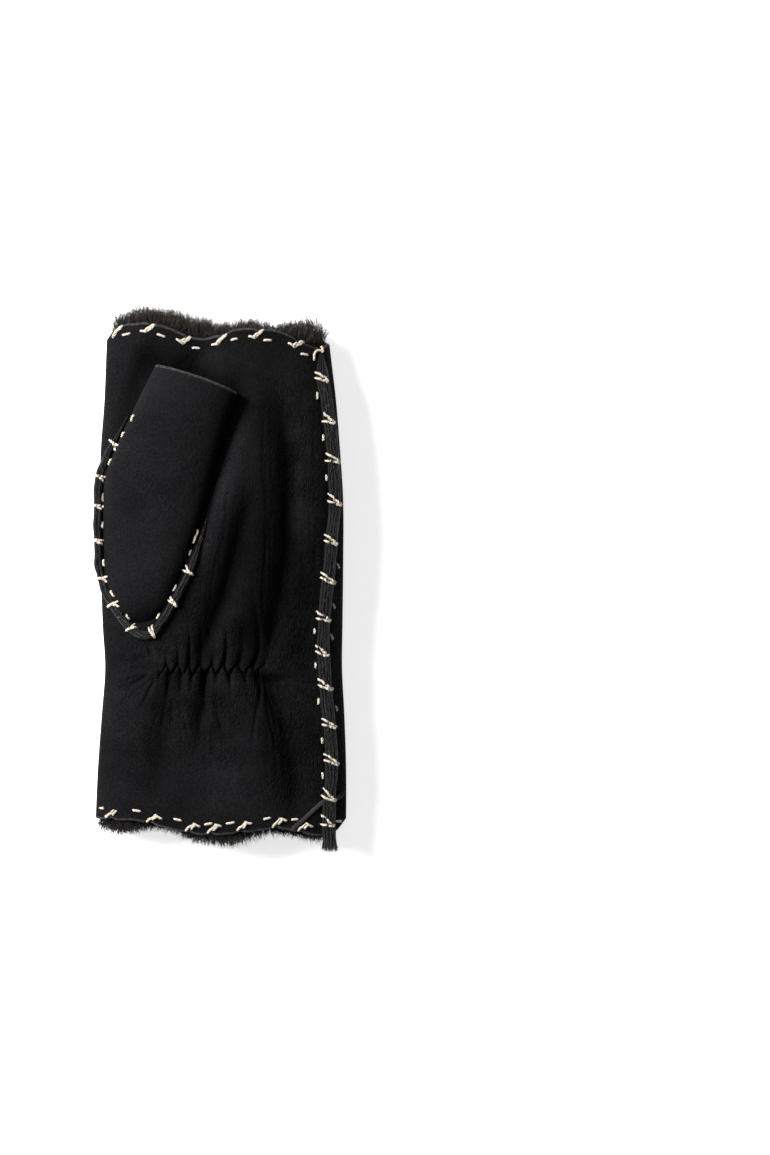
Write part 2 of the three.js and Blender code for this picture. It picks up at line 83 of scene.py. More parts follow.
class Table:
    """Named columns of numbers, read off as smooth curves."""

    def __init__(self, **columns: Sequence[float]) -> None:
        """Keeps each column as an array."""
        self.columns = {name: np.array(column, dtype=float) for name, column in columns.items()}

    def along(self, key: str, name: str, at: Array | float) -> Array:
        """A smooth value of one column where another, rising, has a given value.

        Args:
            key: The rising column.
            name: The column that is read.
            at: The values of the rising column.

        Returns:
            The values of the column that is read.
        """
        xs, ys = self.columns[key], self.columns[name]
        order = np.arange(len(xs))
        low, high = np.maximum(order - 1, 0), np.minimum(order + 1, len(xs) - 1)
        slopes = (ys[high] - ys[low]) / (xs[high] - xs[low])
        place = np.clip(at, xs[0], xs[-1])
        i = np.clip(np.searchsorted(xs, place) - 1, 0, len(xs) - 2)
        span = xs[i + 1] - xs[i]
        t = (place - xs[i]) / span
        ease = t * t * (3 - 2 * t)
        bend = slopes[i] * t * (1 - t) ** 2 - slopes[i + 1] * t * t * (1 - t)
        return ys[i] + (ys[i + 1] - ys[i]) * ease + bend * span


# The sleeve from wrist to fingers: its two side folds and the height of the palm.
SLEEVE = Table(
    y=(-108, -80, -58, -38, -20, 5, 32, 53, 74, 92, 107),
    left=(-52.7, -51.4, -49.8, -48.4, -49.4, -50.2, -50.6, -50.2, -48.7, -48.0, -47.4),
    right=(52.9, 52.9, 52.2, 51.2, 51.4, 51.7, 51.7, 50.4, 48.7, 46.6, 44.8),
    height=(27, 30, 31, 30.5, 31.5, 33, 33.5, 33, 31, 29, 27),
)

# The cut edges from the thumb's fold, -1, to the other, 1: y of the palm's edge, of the
# back's, and of the tips of the wool behind them.
FINGER_HEM = Table(
    across=(-1, -0.9, -0.76, -0.6, -0.45, -0.28, -0.13, 0.02, 0.17, 0.32, 0.52, 0.68, 0.82, 0.92, 1),
    palm=(
        99.6, 105.2, 105.9, 106.2, 104.2, 101.2, 99.5, 101.2, 103.4, 103.8, 103.1, 100.4, 96.9, 95.6,
        97.6,
    ),
    back=(
        99.6, 102.2, 104.4, 103.6, 100.2, 98.8, 99.2, 100.4, 102.2, 103.2, 102.6, 101.6, 100.8, 99.6,
        97.6,
    ),
    wool=(
        110.2, 110.8, 111.9, 112.1, 110.6, 108.4, 107.3, 105.4, 105.4, 107, 104.6, 106.6, 107.4, 106.6,
        102,
    ),
)
WRIST_HEM = Table(
    across=(-1, -0.85, -0.68, -0.53, -0.4, -0.26, -0.1, 0.07, 0.22, 0.38, 0.52, 0.66, 0.8, 0.92, 1),
    palm=(
        -100.6, -101.3, -101.4, -103.2, -104.9, -106.6, -107.6, -107.1, -106.3, -105.1, -105, -106.8,
        -107.8, -106, -101,
    ),
    back=(
        -100.6, -102.6, -101, -103.4, -104.8, -105.6, -105, -103.6, -101.4, -99.9, -100, -101.4, -103.2,
        -103, -101,
    ),
    wool=(
        -104.2, -106.4, -105.6, -104.6, -106, -108.6, -110.6, -110.9, -109.6, -106.6, -107, -108.6,
        -109.6, -108.6, -102.4,
    ),
)

# The thumb from its root to its open tip: the x, y and z of its two side folds, and how far
# it bulges over and under them.
THUMB = Table(
    at=(0.0, 0.1, 0.2, 0.3, 0.4, 0.5, 0.6, 0.7, 0.8, 0.9, 1.0),
    left_x=(-36.4, -41.4, -45.6, -48.2, -48.9, -48.9, -47.9, -42.6, -36.5, -31.2, -26.5),
    left_y=(-22.6, -16.4, -8.8, 1.0, 14.0, 27.6, 41.6, 55.4, 68.6, 79.6, 88.8),
    left_z=(19.6, 22, 20.8, 19, 18.4, 20, 25, 31, 35, 36.4, 36.8),
    right_x=(-29.4, -25.2, -20.2, -15.6, -11.2, -7.6, -4.6, -1.8, 1.3, 4.6, 7.8),
    right_y=(-22.8, -17.0, -9.2, 0.4, 11.4, 22.4, 34.8, 46.4, 57.8, 68.2, 77.8),
    right_z=(20.6, 25, 27, 27.6, 28, 31, 33.5, 35.4, 36.4, 36.8, 37),
    rise=(3.4, 7.2, 9.8, 12.4, 13.8, 13.4, 12, 10.8, 10, 9.8, 9.8),
    drop=(4, 8, 11, 13, 13, 12, 9.4, 8.6, 8.4, 8.6, 8.8),
)

# Centre lines of the two raised seams, in plan.
SIDE_SEAM = (
    (42.2, 96.6), (43.1, 83.6), (46, 65.9), (47.5, 49.6), (48.2, 32.3), (46.8, 15.5), (45.4, -1.3),
    (43.7, -16.8), (43.4, -31.1), (44.3, -45.4), (45.8, -60.9), (46.9, -76.9), (46, -91.1),
    (45.7, -103), (45.9, -111.4),
)
THUMB_SEAM = (
    (-38.4, 67.4), (-42.3, 60.2), (-46.4, 52.4), (-49.8, 45), (-51.2, 36), (-51.3, 26), (-51.2, 14),
    (-50.6, 4), (-48.6, -4.4), (-45, -11.4), (-40.6, -17.6), (-35.4, -23), (-30.6, -24.4),
    (-26, -21.2), (-21.8, -15.2), (-17.4, -7.4), (-13.2, 0.6), (-9.8, 9.4), (-7, 18.6), (-5, 27),
    (-3.6, 35),
)


@dataclass(frozen=True)
class Hem:
    """A cut hem: its edges, which way it faces, and the places of its stitches across."""

    table: Table
    sign: int
    whips: tuple[float, ...]
    dashes: tuple[float, ...]
    back_whips: tuple[float, ...]
    back_dashes: tuple[float, ...]
    level: float = 103.0
    lead: float = 2.4
    notch: float = 0.9
    notch_width: float = 1.9

    def edge(self, across: Array | float, back: bool = False) -> Array:
        """The y of the cut edge, drawn in a little where a stitch goes over it.

        Args:
            across: Places from the thumb's fold, -1, to the other, 1.
            back: Whether the back's edge is meant.

        Returns:
            The y of the edge at each place.
        """
        y = self.table.along("across", "back" if back else "palm", across)
        left, right = (SLEEVE.along("y", name, self.level * self.sign) for name in ("left", "right"))
        middle = (left + right) / 2
        x = middle + np.asarray(across) * (right - middle)
        side = -self.sign if back else self.sign
        for whip in self.back_whips if back else self.whips:
            off = (x - whip - side * self.lead) / self.notch_width
            y = y - self.sign * self.notch * np.exp(-(off**2))
        return y

    def edges(self, across: Array, palm: Array) -> Array:
        """The y of the palm's edge at places on the palm, and of the back's edge elsewhere."""
        return np.where(palm, self.edge(across), self.edge(across, back=True))

    def tips(self, across: Array | float) -> Array:
        """The y that the wool's tips reach."""
        return self.table.along("across", "wool", across)


FINGERS = Hem(
    FINGER_HEM,
    1,
    (-44.2, -30.7, -15.5, -0.8, 14.7, 31.1),
    (-39.0, -24.4, -9.7, 6.3, 20.2, 35.6),
    (-39.0, -24.2, -8.6, 6.8, 22.0, 36.4),
    (-31.4, -16.4, -0.8, 14.4, 29.4),
)
WRIST = Hem(
    WRIST_HEM,
    -1,
    (-43.6, -26.6, -10.6, -1.4, 11.0, 25.8, 36.6),
    (-50.4, -34.6, -17.4, -4.6, 4.6, 20.0, 31.6),
    (-40.0, -24.6, -9.6, 5.4, 20.6, 35.8),
    (-47.6, -32.4, -17.0, -2.0, 13.2, 28.4, 43.0),
)


def power(value: Array, exponent: float) -> Array:
    """A power that keeps its base's sign."""
    return np.sign(value) * np.abs(value) ** exponent


def smoothstep(value: Array | float, low: float, high: float) -> Array:
    """Rises smoothly from 0 at low to 1 at high."""
    t = np.clip((np.asarray(value, dtype=float) - low) / (high - low), 0, 1)
    return t * t * (3 - 2 * t)


def ripple(x: Array, y: Array, wave: float, seed: int) -> Array:
    """A soft irregular undulation between about -1 and 1.

    Args:
        x: The first coordinate.
        y: The second coordinate.
        wave: Its typical wavelength, in the coordinates' unit.
        seed: Picks one of many such surfaces.

    Returns:
        The undulation at each place.
    """
    chance = np.random.default_rng(seed)
    total = np.zeros(np.broadcast(x, y).shape)
    for _ in range(7):
        angle = chance.uniform(0, math.pi)
        turn = 2 * math.pi / (wave * chance.uniform(0.7, 1.7))
        phase = chance.uniform(0, 2 * math.pi)
        total += np.sin(turn * (x * math.cos(angle) + y * math.sin(angle)) + phase)
    return total / 4


@dataclass(frozen=True)
class Gather:
    """The elastic's gathers across the inside of the wrist, in millimetres."""

    y: float = -38.6
    valleys: tuple[float, ...] = (-28.0, -24.4, -20.1, -15, -11.1, -5.7, -1.2, 3.9, 10.2, 15.3, 19.2)
    depth: float = 2.9
    reach_up: tuple[float, ...] = (3, 4, 6, 8, 8, 5.5, 11, 7.5, 13, 6)
    reach_down: tuple[float, ...] = (3, 4, 8, 11, 4.5, 18, 4.5, 5, 4, 8, 4)
    strong_up: tuple[float, ...] = (0.35, 0.5, 0.7, 1.15, 0.9, 0.8, 1.2, 0.9, 1.1, 0.5)
    strong_down: tuple[float, ...] = (0.3, 0.5, 1.0, 0.9, 0.75, 1.2, 0.75, 0.85, 0.7, 0.9, 0.4)
    pinch: float = 1.0
    pinch_reach: float = 0.9
    zigzag: float = 1.8
    lean_reach: float = 12
    spread: float = 0.42

    def leaning(self, x: Array, y: Array) -> Array:
        """How far the skin is drawn sideways from its place on the gathers' line.

        Args:
            x: Places across.
            y: Places along.

        Returns:
            The shift at each place.
        """
        up = np.maximum(y - self.y, 0)
        down = np.maximum(self.y - y, 0)
        lean = np.interp(x, (-24, -10, 4, 17), (0.0, 0.16, 0.38, 0.9))
        fan = self.spread * np.clip((x + 3) / 18, -1, 1)
        return lean * up * np.exp(-up / self.lean_reach) + fan * down * np.exp(-down / self.lean_reach)

    def sink(self, x: Array, y: Array, smooth: bool) -> Array:
        """How far the gathers sink the palm.

        Args:
            x: Places across the palm.
            y: Places along it.
            smooth: Whether only the tucks' lower envelope is wanted.

        Returns:
            The depth at each place.
        """
        valleys = np.array(self.valleys)
        mids = (valleys[1:] + valleys[:-1]) / 2
        home = x - self.leaning(x, y)
        if smooth:
            off = y - self.y
            reach = np.where(off > 0, 11.0, 10.0)
            near = smoothstep(home, valleys[0] - 8, valleys[0] + 1)
            near = near * (1 - smoothstep(home, valleys[-1] - 1, valleys[-1] + 8))
            return near * (1.2 + 1.1 * self.depth) * np.exp(-((np.abs(off) / reach) ** 1.3))
        i = np.clip(np.searchsorted(valleys, home) - 1, 0, len(valleys) - 2)
        part = np.clip((home - valleys[i]) / (valleys[i + 1] - valleys[i]), 0, 1)
        off = y - self.y - self.zigzag * (1 - 2 * np.abs(2 * part - 1))
        ends = smoothstep(home, valleys[0], valleys[2]) * (1 - smoothstep(home, valleys[-2], valleys[-1]))
        upper = (1 - np.abs(np.cos(np.pi * part))) ** 1.15 * np.interp(home, mids, self.strong_up)
        lower = (1 - np.abs(np.sin(np.pi * part))) ** 1.15 * np.interp(home, valleys, self.strong_down)
        above = np.exp(-((np.maximum(off, 0) / np.interp(home, mids, self.reach_up)) ** 1.3))
        below = np.exp(-((np.maximum(-off, 0) / np.interp(home, valleys, self.reach_down)) ** 1.3))
        side = smoothstep(off, -0.45, 0.45)
        tuck = upper * above * side + lower * below * (1 - side)
        line = self.pinch * np.exp(-((off / self.pinch_reach) ** 2))
        return ends * (line + self.depth * tuck)


@dataclass(frozen=True)
class Fold:
    """A long fold of the palm through three points, from its wrist end to its finger end, with the shade
    painted along it.
    """

    y: tuple[float, float, float]
    x: tuple[float, float, float]
    depth: float
    left: float
    right: float
    # How much shade is painted into the colour along the fold; below 0 it paints light.
    dark: float = 0.0
    sharp: float = 1.5
    fades: Place = (0.14, 0.4)

    def across(self, x: Array, y: Array) -> tuple[Array, Array]:
        """Where places lie from the fold's crease.

        Args:
            x: Places across.
            y: Places along.

        Returns:
            How far each is to the right of it, and at which share of its length.
        """
        (y0, y1, y2), (x0, x1, x2) = self.y, self.x
        at = np.clip(y, y0, y2)
        line = (
            x0 * (at - y1) * (at - y2) / ((y0 - y1) * (y0 - y2))
            + x1 * (at - y0) * (at - y2) / ((y1 - y0) * (y1 - y2))
            + x2 * (at - y0) * (at - y1) / ((y2 - y0) * (y2 - y1))
        )
        return x - line, (y - y0) / (y2 - y0)

    def sink(self, x: Array, y: Array, smooth: bool) -> Array:
        """How far the fold sinks the palm.

        Args:
            x: Places across.
            y: Places along.
            smooth: Whether it is taken wider and longer, as a lower envelope.

        Returns:
            The depth at each place.
        """
        off, t = self.across(x, y)
        start, end = (-0.5, 1.3) if smooth else (0, 1)
        fade = smoothstep(t, start, start + self.fades[0]) * (1 - smoothstep(t, end - self.fades[1], end))
        more = 4 if smooth else 0
        width = np.where(off < 0, self.left, self.right) + more
        sharp = 2.0 if smooth else np.where(off < 0, self.sharp, 1.8)
        return self.depth * fade * np.exp(-((np.abs(off) / width) ** sharp))

    def shade(self, x: Array, y: Array) -> Array:
        """How much shade is painted into the skin's colour in the fold.

        Args:
            x: Places across.
            y: Places along.

        Returns:
            The painted shade at each place, below 0 where light is painted instead.
        """
        off, t = self.across(x, y)
        fade = smoothstep(t, -0.04, self.fades[0]) * (1 - smoothstep(t, 1.04 - self.fades[1], 1.04))
        width = np.where(off < -0.5, self.left * 0.65, self.right * 0.65)
        return self.dark * fade * np.exp(-((np.abs(off + 0.5) / width) ** 1.8))


# Each fold: its three y and three x, depth, left and right widths, the shade painted along it, sharpness and
# fades.
PALM_FOLDS = (
    Fold((-40, 0, 46), (-11.5, 3.6, 13.5), 4.4, 6.4, 5.2, 0.8),
    Fold((-40, 15, 94), (17, 27.6, 20), 5.0, 10.5, 6.5, 0.9),
    Fold((-104, -62, -38), (-28, -23.6, -19.6), 2.7, 8.0, 6.5, 0.5, 1.7, (0.6, 0.08)),
    Fold((-78, -54, -38), (-9.6, -7.6, -5.7), 3.0, 4.2, 2.8, 0.55, 1.6, (0.5, 0.08)),
    Fold((-108, -64, -39), (29, 26.5, 17.0), 4.0, 8.5, 6.5, 0.65, 1.5, (0.4, 0.08)),
    Fold((72, 84, 104), (-16, -12, -7.5), 1.6, 7, 7, 0.4, 2.0),
    Fold((34, 70, 116), (-27, -17, -7), 3.0, 12, 10, 0.2, 2.0),
    Fold((4, 49, 90), (-16.5, -3.4, 9.5), 3.4, 12, 5.0, 0.35, 2.0, (0.3, 0.3)),
)


@dataclass(frozen=True)
class Crease:
    """A fine crease in the skin between two points in plan."""

    start: Place
    end: Place
    depth: float = 0.3
    width: float = 0.7
    bow: float = 0.0

    def sink(self, x: Array, y: Array) -> Array:
        """How far the crease sinks the skin.

        Args:
            x: Places across.
            y: Places along.

        Returns:
            The depth at each place.
        """
        (x0, y0), (x1, y1) = self.start, self.end
        length = math.hypot(x1 - x0, y1 - y0)
        way_x, way_y = (x1 - x0) / length, (y1 - y0) / length
        run = ((x - x0) * way_x + (y - y0) * way_y) / length
        off = (y - y0) * way_x - (x - x0) * way_y
        bowed = off - self.bow * 4 * run * (1 - run)
        fade = smoothstep(run, 0, 0.2) * (1 - smoothstep(run, 0.55, 1))
        return self.depth * fade * np.exp(-((bowed / self.width) ** 2))


def fan(
    centre: Place, angles: Place, reach: Place, count: int, seed: int, depth: float = 0.3
) -> list[Crease]:
    """Creases that spread from a point, as they do at the ends of a gather.

    Args:
        centre: The point, in plan.
        angles: The first and last direction, in degrees from +X.
        reach: How far off they start and end, on average.
        count: How many there are.
        seed: Sets their small differences.
        depth: Their usual depth.

    Returns:
        The creases.
    """
    chance = np.random.default_rng(seed)
    creases = []
    for angle in np.linspace(*angles, count):
        way = math.radians(angle + chance.normal(0, 2.5))
        near = reach[0] * chance.uniform(0.6, 1.6)
        far = reach[1] * chance.uniform(0.6, 1.25)
        start = (centre[0] + near * math.cos(way), centre[1] + near * math.sin(way))
        bent = way + chance.normal(0, 0.12)
        end = (centre[0] + far * math.cos(bent), centre[1] + far * math.sin(bent))
        strength = depth * chance.uniform(0.6, 1.3)
        creases.append(Crease(start, end, strength, chance.uniform(0.55, 0.95), chance.normal(0, 0.8)))
    return creases


def long_creases(foot: Place, head: Place, spread: float, count: int, seed: int) -> list[Crease]:
    """Fine creases side by side along a fold.

    Args:
        foot: Where their middle starts.
        head: Where their middle ends.
        spread: How far they lie to either side.
        count: How many there are.
        seed: Sets their small differences.

    Returns:
        The creases.
    """
    chance = np.random.default_rng(seed)
    creases = []
    for _ in range(count):
        side = chance.uniform(-spread, spread)
        low, high = sorted(chance.uniform(0, 1, 2))
        high = min(low + max(high - low, 0.25), 1.0)
        start = (foot[0] + (head[0] - foot[0]) * low + side, foot[1] + (head[1] - foot[1]) * low)
        end = (foot[0] + (head[0] - foot[0]) * high + side * 1.1, foot[1] + (head[1] - foot[1]) * high)
        creases.append(Crease(start, end, chance.uniform(0.1, 0.26), chance.uniform(0.55, 0.85), 1.2))
    return creases


PALM_CREASES = (
    *fan((-25, -39), (168, 250), (3, 22), 16, 1, 0.5),
    *fan((17, -40), (-80, -8), (4, 32), 22, 2, 0.5),
    *fan((-20, -42), (252, 284), (6, 30), 7, 3, 0.42),
    *fan((-4, -44), (258, 292), (6, 26), 7, 4, 0.4),
    *fan((18, -36), (38, 74), (5, 26), 7, 5, 0.4),
    *fan((-26, -36), (104, 156), (3, 16), 7, 6, 0.42),
    *long_creases((23, -20), (28, 90), 7, 26, 7),
    *long_creases((34, -20), (36, 88), 8, 24, 8),
    *long_creases((-4, -30), (8, 40), 5, 12, 9),
    *long_creases((30, -94), (27, -44), 8, 18, 12),
    *long_creases((-14, -80), (-10, -44), 12, 14, 13),
    *fan((-9, 97), (225, 262), (3, 20), 5, 10, 0.22),
)

# Painted shade on the palm, and painted light where the shade is below zero, without a fold: beside and above
# the thumb, between the two long folds, past the side seam, round the gathers.
PALM_SHADES = (
    Fold((54, 76, 102), (-41.5, -36.5, -29), 0, 9, 9, 0.6, 2.0, (0.25, 0.25)),
    Fold((-40, 0, 50), (8, 15, 18), 0, 11, 9, 0.5, 2.0),
    Fold((-112, 0, 104), (52.5, 54, 49), 0, 6, 6, 0.7, 2.0, (0.05, 0.05)),
    Fold((-18, -1, 20), (0, 6, 13), 0, 6, 6.5, 0.5, 2.0, (0.3, 0.3)),
    Fold((-48, -12, 26), (33, 34, 35), 0, 11, 10, 0.55, 2.0, (0.35, 0.35)),
    Fold((-106, -80, -50), (33, 35, 34), 0, 10, 10, 0.3, 2.0, (0.3, 0.3)),
    Fold((-70, -60, -46), (0, 0, 0), 0, 9, 9, 0.35, 2.0, (0.3, 0.3)),
    Fold((-6, 32, 82), (-13.5, 0, 14.5), 0, 5.5, 6.5, -0.9, 2.0, (0.15, 0.2)),
    Fold((-20, -1, 18), (10, 15.5, 19), 0, 6, 6, -0.6, 2.0, (0.3, 0.3)),
    Fold((-104, -89, -74), (0, 0, 0), 0, 24, 26, -0.6, 2.0, (0.4, 0.4)),
)
# Painted shade on the palm just above the thumb's tip.
TIP_SHADE = Crease((-40, 93.5), (22, 76.5), 0.5, 5.5)


@dataclass(frozen=True)
class Sleeve:
    """The form of the hand's sleeve, the same as its solid's, with its finer relief."""

    shift: Place = (0.0, 0.0)
    fold_line: float = 0.42
    back_flat: float = 1.0
    palm_power: float = 2.35
    back_power: float = 2.9
    hem_curl: float = 1.7
    cover_span: Place = (0.05, 0.55)
    gather: Gather = field(default_factory=Gather)

    def section(self, y: Array, inset: float) -> tuple[Array, ...]:
        """The cross-section.

        Args:
            y: Places along.
            inset: How far the surface is taken in.

        Returns:
            Its middle, half width, fold height, rise over the folds and drop under them.
        """
        left = SLEEVE.along("y", "left", y) + inset
        right = SLEEVE.along("y", "right", y) - inset
        height = SLEEVE.along("y", "height", y)
        fold = height * self.fold_line
        return (
            (left + right) / 2,
            (right - left) / 2,
            fold,
            height - fold - inset,
            fold - inset + self.back_flat,
        )

    def palm_sink(self, x: Array, y: Array, smooth: bool) -> Array:
        """How far the folds and gathers sink the palm.

        Args:
            x: Places across.
            y: Places along.
            smooth: Whether their lower envelope is taken.

        Returns:
            The depth at each place.
        """
        total = self.gather.sink(x, y, smooth)
        for fold in PALM_FOLDS:
            total = total + fold.sink(x, y, smooth)
        return total

    def shade(self, x: Array, y: Array) -> Array:
        """How much shade is painted into the palm's colour in its hollows.

        Args:
            x: Places across.
            y: Places along.

        Returns:
            The painted shade at each place, below 0 where light is painted.
        """
        # The whole palm is painted a little darker than the thumb, which stands higher in the light; each
        # fold, band and the shade above the thumb's tip darken it further, or lighten it below zero.
        bright = 0.85
        for fold in (*PALM_FOLDS, *PALM_SHADES):
            bright = bright * (1 - fold.shade(x, y))
        return 1 - bright * (1 - TIP_SHADE.sink(x, y))

    def relief(self, x: Array, y: Array) -> Array:
        """The palm's fine relief, which the solid leaves out.

        Args:
            x: Places across.
            y: Places along.

        Returns:
            How far it sinks each place.
        """
        total = 0.35 * ripple(x, y, 42, 21) + 0.16 * ripple(x, y, 15, 22) + 0.05 * ripple(x, y, 5, 23)
        for crease in PALM_CREASES:
            total = total + crease.sink(x, y)
        return total

    def back_relief(self, x: Array, y: Array) -> Array:
        """The back's fine relief, all of it upwards, clear of the table."""
        low = 0.3 * (1 + ripple(x, y, 40, 31)) + 0.07 * (1 + ripple(x, y, 9, 32))
        return np.maximum(low, 0)

    def spread(self, cosine: Array, palm: Array) -> Array:
        """Places across the sleeve, -1 to 1, from the cosine of a turn."""
        return np.where(palm, power(cosine, 2 / self.palm_power), power(cosine, 2 / self.back_power))

    def dome(self, across: Array) -> Array:
        """The share of the palm's rise over its folds at places across."""
        return (1 - np.abs(across) ** self.palm_power) ** (1 / self.palm_power)

    def point(
        self,
        turn: Array,
        share: float,
        inset: float = 0,
        smooth: bool = False,
        extra: float = 0,
        fine: bool = False,
    ) -> Array:
        """Points of the sleeve, in metres.

        Args:
            turn: Goes once round from the little-finger fold over the palm.
            share: From the wrist hem, 0, to the finger hem, 1.
            inset: How far the surface is taken in.
            smooth: Whether the gathers and folds are taken as their lower envelope.
            extra: How far the surface is run on past both hems.
            fine: Whether it has its fine relief.

        Returns:
            An array of points with x, y and z last.
        """
        turn, share = np.broadcast_arrays(turn, share)
        c, s = np.cos(turn * 2 * np.pi), np.sin(turn * 2 * np.pi)
        palm = s >= 0
        across = self.spread(c, palm)
        wrist, finger = WRIST.edges(across, palm) - extra, FINGERS.edges(across, palm) + extra
        y = wrist + (finger - wrist) * share
        middle, half, fold, up, down = self.section(y, inset)
        drawn = self.gather.leaning(middle + across * half, y) * (1 - across**4) / half
        leant = np.clip(np.where(palm, across + drawn, across), -1, 1)
        x = middle + leant * half
        cover = smoothstep(s, *self.cover_span)
        sink = cover * self.palm_sink(x, y, smooth)
        low = np.maximum(fold + power(s, 2 / self.back_power) * down, inset)
        under = smoothstep(-s, 0.1, 0.7)
        near_hem = np.minimum(y - wrist, finger - y)
        low = low + self.hem_curl * (1 - smoothstep(near_hem, 0, 14)) * under
        if fine:
            sink = sink + cover * self.relief(x, y)
            low = low + under * self.back_relief(x, y)
        z = np.where(palm, fold + self.dome(leant) * up - sink, low)
        return self.place(x, y, z)

    def place(self, x: Array, y: Array, z: Array) -> Array:
        """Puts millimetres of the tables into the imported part's frame."""
        return np.stack([x + self.shift[0], y + self.shift[1], z], axis=-1) * MM

    def palm_height(self, x: float, y: float) -> float:
        """Height of the palm's skin over the table.

        Args:
            x: Place across, in millimetres.
            y: Place along, in millimetres.

        Returns:
            The height in millimetres.
        """
        xs, ys = np.array([x]), np.array([y])
        middle, half, fold, up, _ = self.section(ys, 0)
        rise = self.dome(np.clip((xs - middle) / half, -0.985, 0.985))
        cover = smoothstep(rise ** (self.palm_power / 2), *self.cover_span)
        sink = cover * (self.palm_sink(xs, ys, False) + self.relief(xs, ys))
        return float((fold + rise * up - sink)[0])

    def hem_y(self, hem: Hem, back: bool, x: float) -> float:
        """The y of a cut edge, found in a few steps because the sleeve tapers.

        Args:
            hem: The hem.
            back: Whether the back's edge is meant.
            x: Place across, in millimetres.

        Returns:
            The y in millimetres.
        """
        guess = hem.edge(0.0, back)
        for _ in range(3):
            middle, half, *_ = self.section(np.asarray(guess), 0)
            guess = hem.edge((x - middle) / half, back)
        return float(guess)


@dataclass(frozen=True)
class ThumbForm:
    """The form of the thumb, the same as its solid's, with its finer relief."""

    sleeve: Sleeve
    roundness: float = 2.3

    def folds(self, at: Array | float) -> tuple[Array, Array]:
        """The points of the thumb's left and right folds at shares of its length."""
        sides = ([THUMB.along("at", f"{side}_{n}", at) for n in "xyz"] for side in ("left", "right"))
        left, right = (np.stack(side, axis=-1) for side in sides)
        return left, right

    def shade(self, spots: Array) -> Array:
        """Painted shade on the thumb's colour: along its palm side, where it turns away from the light, and
        at its root.

        Args:
            spots: Places on the thumb, in millimetres.

        Returns:
            The shade at each place, 0 to 1.
        """
        left, right = (fold[:, :2] for fold in self.folds(np.linspace(0, 1, 60)))
        middle, half = (left + right) / 2, (right - left) / 2
        away = spots[:, None, :2] - middle[None]
        i = np.argmin((away**2).sum(axis=2), axis=1)
        near = away[np.arange(len(spots)), i]
        across = (near * half[i]).sum(axis=1) / (half[i] ** 2).sum(axis=1)
        side = 0.8 * smoothstep(across, 0.8, 0.99)
        root = 0.5 * (1 - smoothstep(spots[:, 1], -20, -7)) * smoothstep(spots[:, 0], -45, -38)
        return np.maximum(side, root)

    def tip_way(self) -> Array:
        """The direction out of the open tip, in millimetres."""
        before, tip = (sum(self.folds(at)) for at in (0.9, 1.0))
        return (tip - before) / np.linalg.norm(tip - before)

    def point(
        self, turn: Array, share: float, inset: float = 0, extra: float = 0, fine: bool = False
    ) -> Array:
        """Points of the thumb, in metres.

        Args:
            turn: Goes once round from the fold nearest the palm, over the top.
            share: From the root, 0, to the tip, 1.
            inset: How far the surface is taken in.
            extra: How far it is run on past the tip.
            fine: Whether it has its fine relief.

        Returns:
            An array of points with x, y and z last.
        """
        turn, share = np.broadcast_arrays(turn, share)
        left, right = self.folds(share)
        half = (right - left) / 2
        scale = np.maximum(1 - inset / np.linalg.norm(half, axis=-1), 0.05)
        slope = np.cos(turn * 2 * np.pi)
        c = power(slope, 2 / self.roundness)
        s = power(np.sin(turn * 2 * np.pi), 2 / self.roundness)
        bulge = np.where(s > 0, THUMB.along("at", "rise", share), THUMB.along("at", "drop", share))
        tilt = 2.4 * smoothstep(share, 0.4, 0.7) * ((slope + 1) / 2) ** 1.5
        bulge = np.maximum(bulge - inset - np.where(s < 0, tilt, 0), 0.2)
        spot = (left + right) / 2 + half * (c * scale)[..., None]
        lift = s * bulge - tilt
        if fine:
            x, y = spot[..., 0], spot[..., 1]
            soft = 0.35 * ripple(x, y, 34, 41) + 0.13 * ripple(x, y, 11, 42) + 0.04 * ripple(x, y, 4, 43)
            lift = lift + np.clip(s, 0, 1) * soft
        spot = spot + lift[..., None] * np.array([0, 0, 1.0])
        trim = 0.5 + 0.7 * (slope + 1) / 2 - 1.1 * (1 - slope**2)
        run_on = extra - trim * smoothstep(share, 0.75, 1)
        spot = spot + run_on[..., None] * self.tip_way()
        return self.sleeve.place(spot[..., 0], spot[..., 1], spot[..., 2])


def even(count: int) -> Array:
    """Equal shares of a turn."""
    return np.arange(count) / count


def weighted(count: int, low: float, high: float, weight: Callable[[Array], Array]) -> Array:
    """Places from low to high, closer together where a weight is larger.

    Args:
        count: How many there are, with both ends.
        low: The first place.
        high: The last place.
        weight: Gives the wanted closeness at an array of places.

    Returns:
        The places.
    """
    fine = np.linspace(low, high, 2000)
    run = np.concatenate([[0], np.cumsum(weight((fine[1:] + fine[:-1]) / 2))])
    return np.interp(np.linspace(0, run[-1], count), run, fine)


def walk(path: Sequence[Place], step: float = 0.6, count: int = 0) -> tuple[Array, Array]:
    """Even points along a smooth path in plan.

    Args:
        path: The points that it goes through.
        step: About how far apart the even points are, where no count is given.
        count: How many there are.

    Returns:
        The points, and their distances along the path.
    """
    x, y = np.array(path).T
    knots = np.concatenate([[0], np.cumsum(np.linalg.norm(np.diff(np.array(path), axis=0), axis=1))])
    table = Table(run=knots, x=x, y=y)
    runs = np.linspace(0, knots[-1], count or int(knots[-1] / step))
    return np.stack([table.along("run", "x", runs), table.along("run", "y", runs)], axis=1), runs


def headings(line: Array) -> Array:
    """The direction of a line at each of its points, as unit vectors."""
    ways = np.gradient(line, axis=0)
    return ways / np.linalg.norm(ways, axis=1, keepdims=True)


def link(name: str, data: Any) -> Any:
    """A new object of a mesh, a lamp or a camera, linked to the scene.

    Args:
        name: The object's name.
        data: What it shows.

    Returns:
        The object.
    """
    made = bpy.data.objects.new(name, data)
    bpy.context.scene.collection.objects.link(made)
    return made


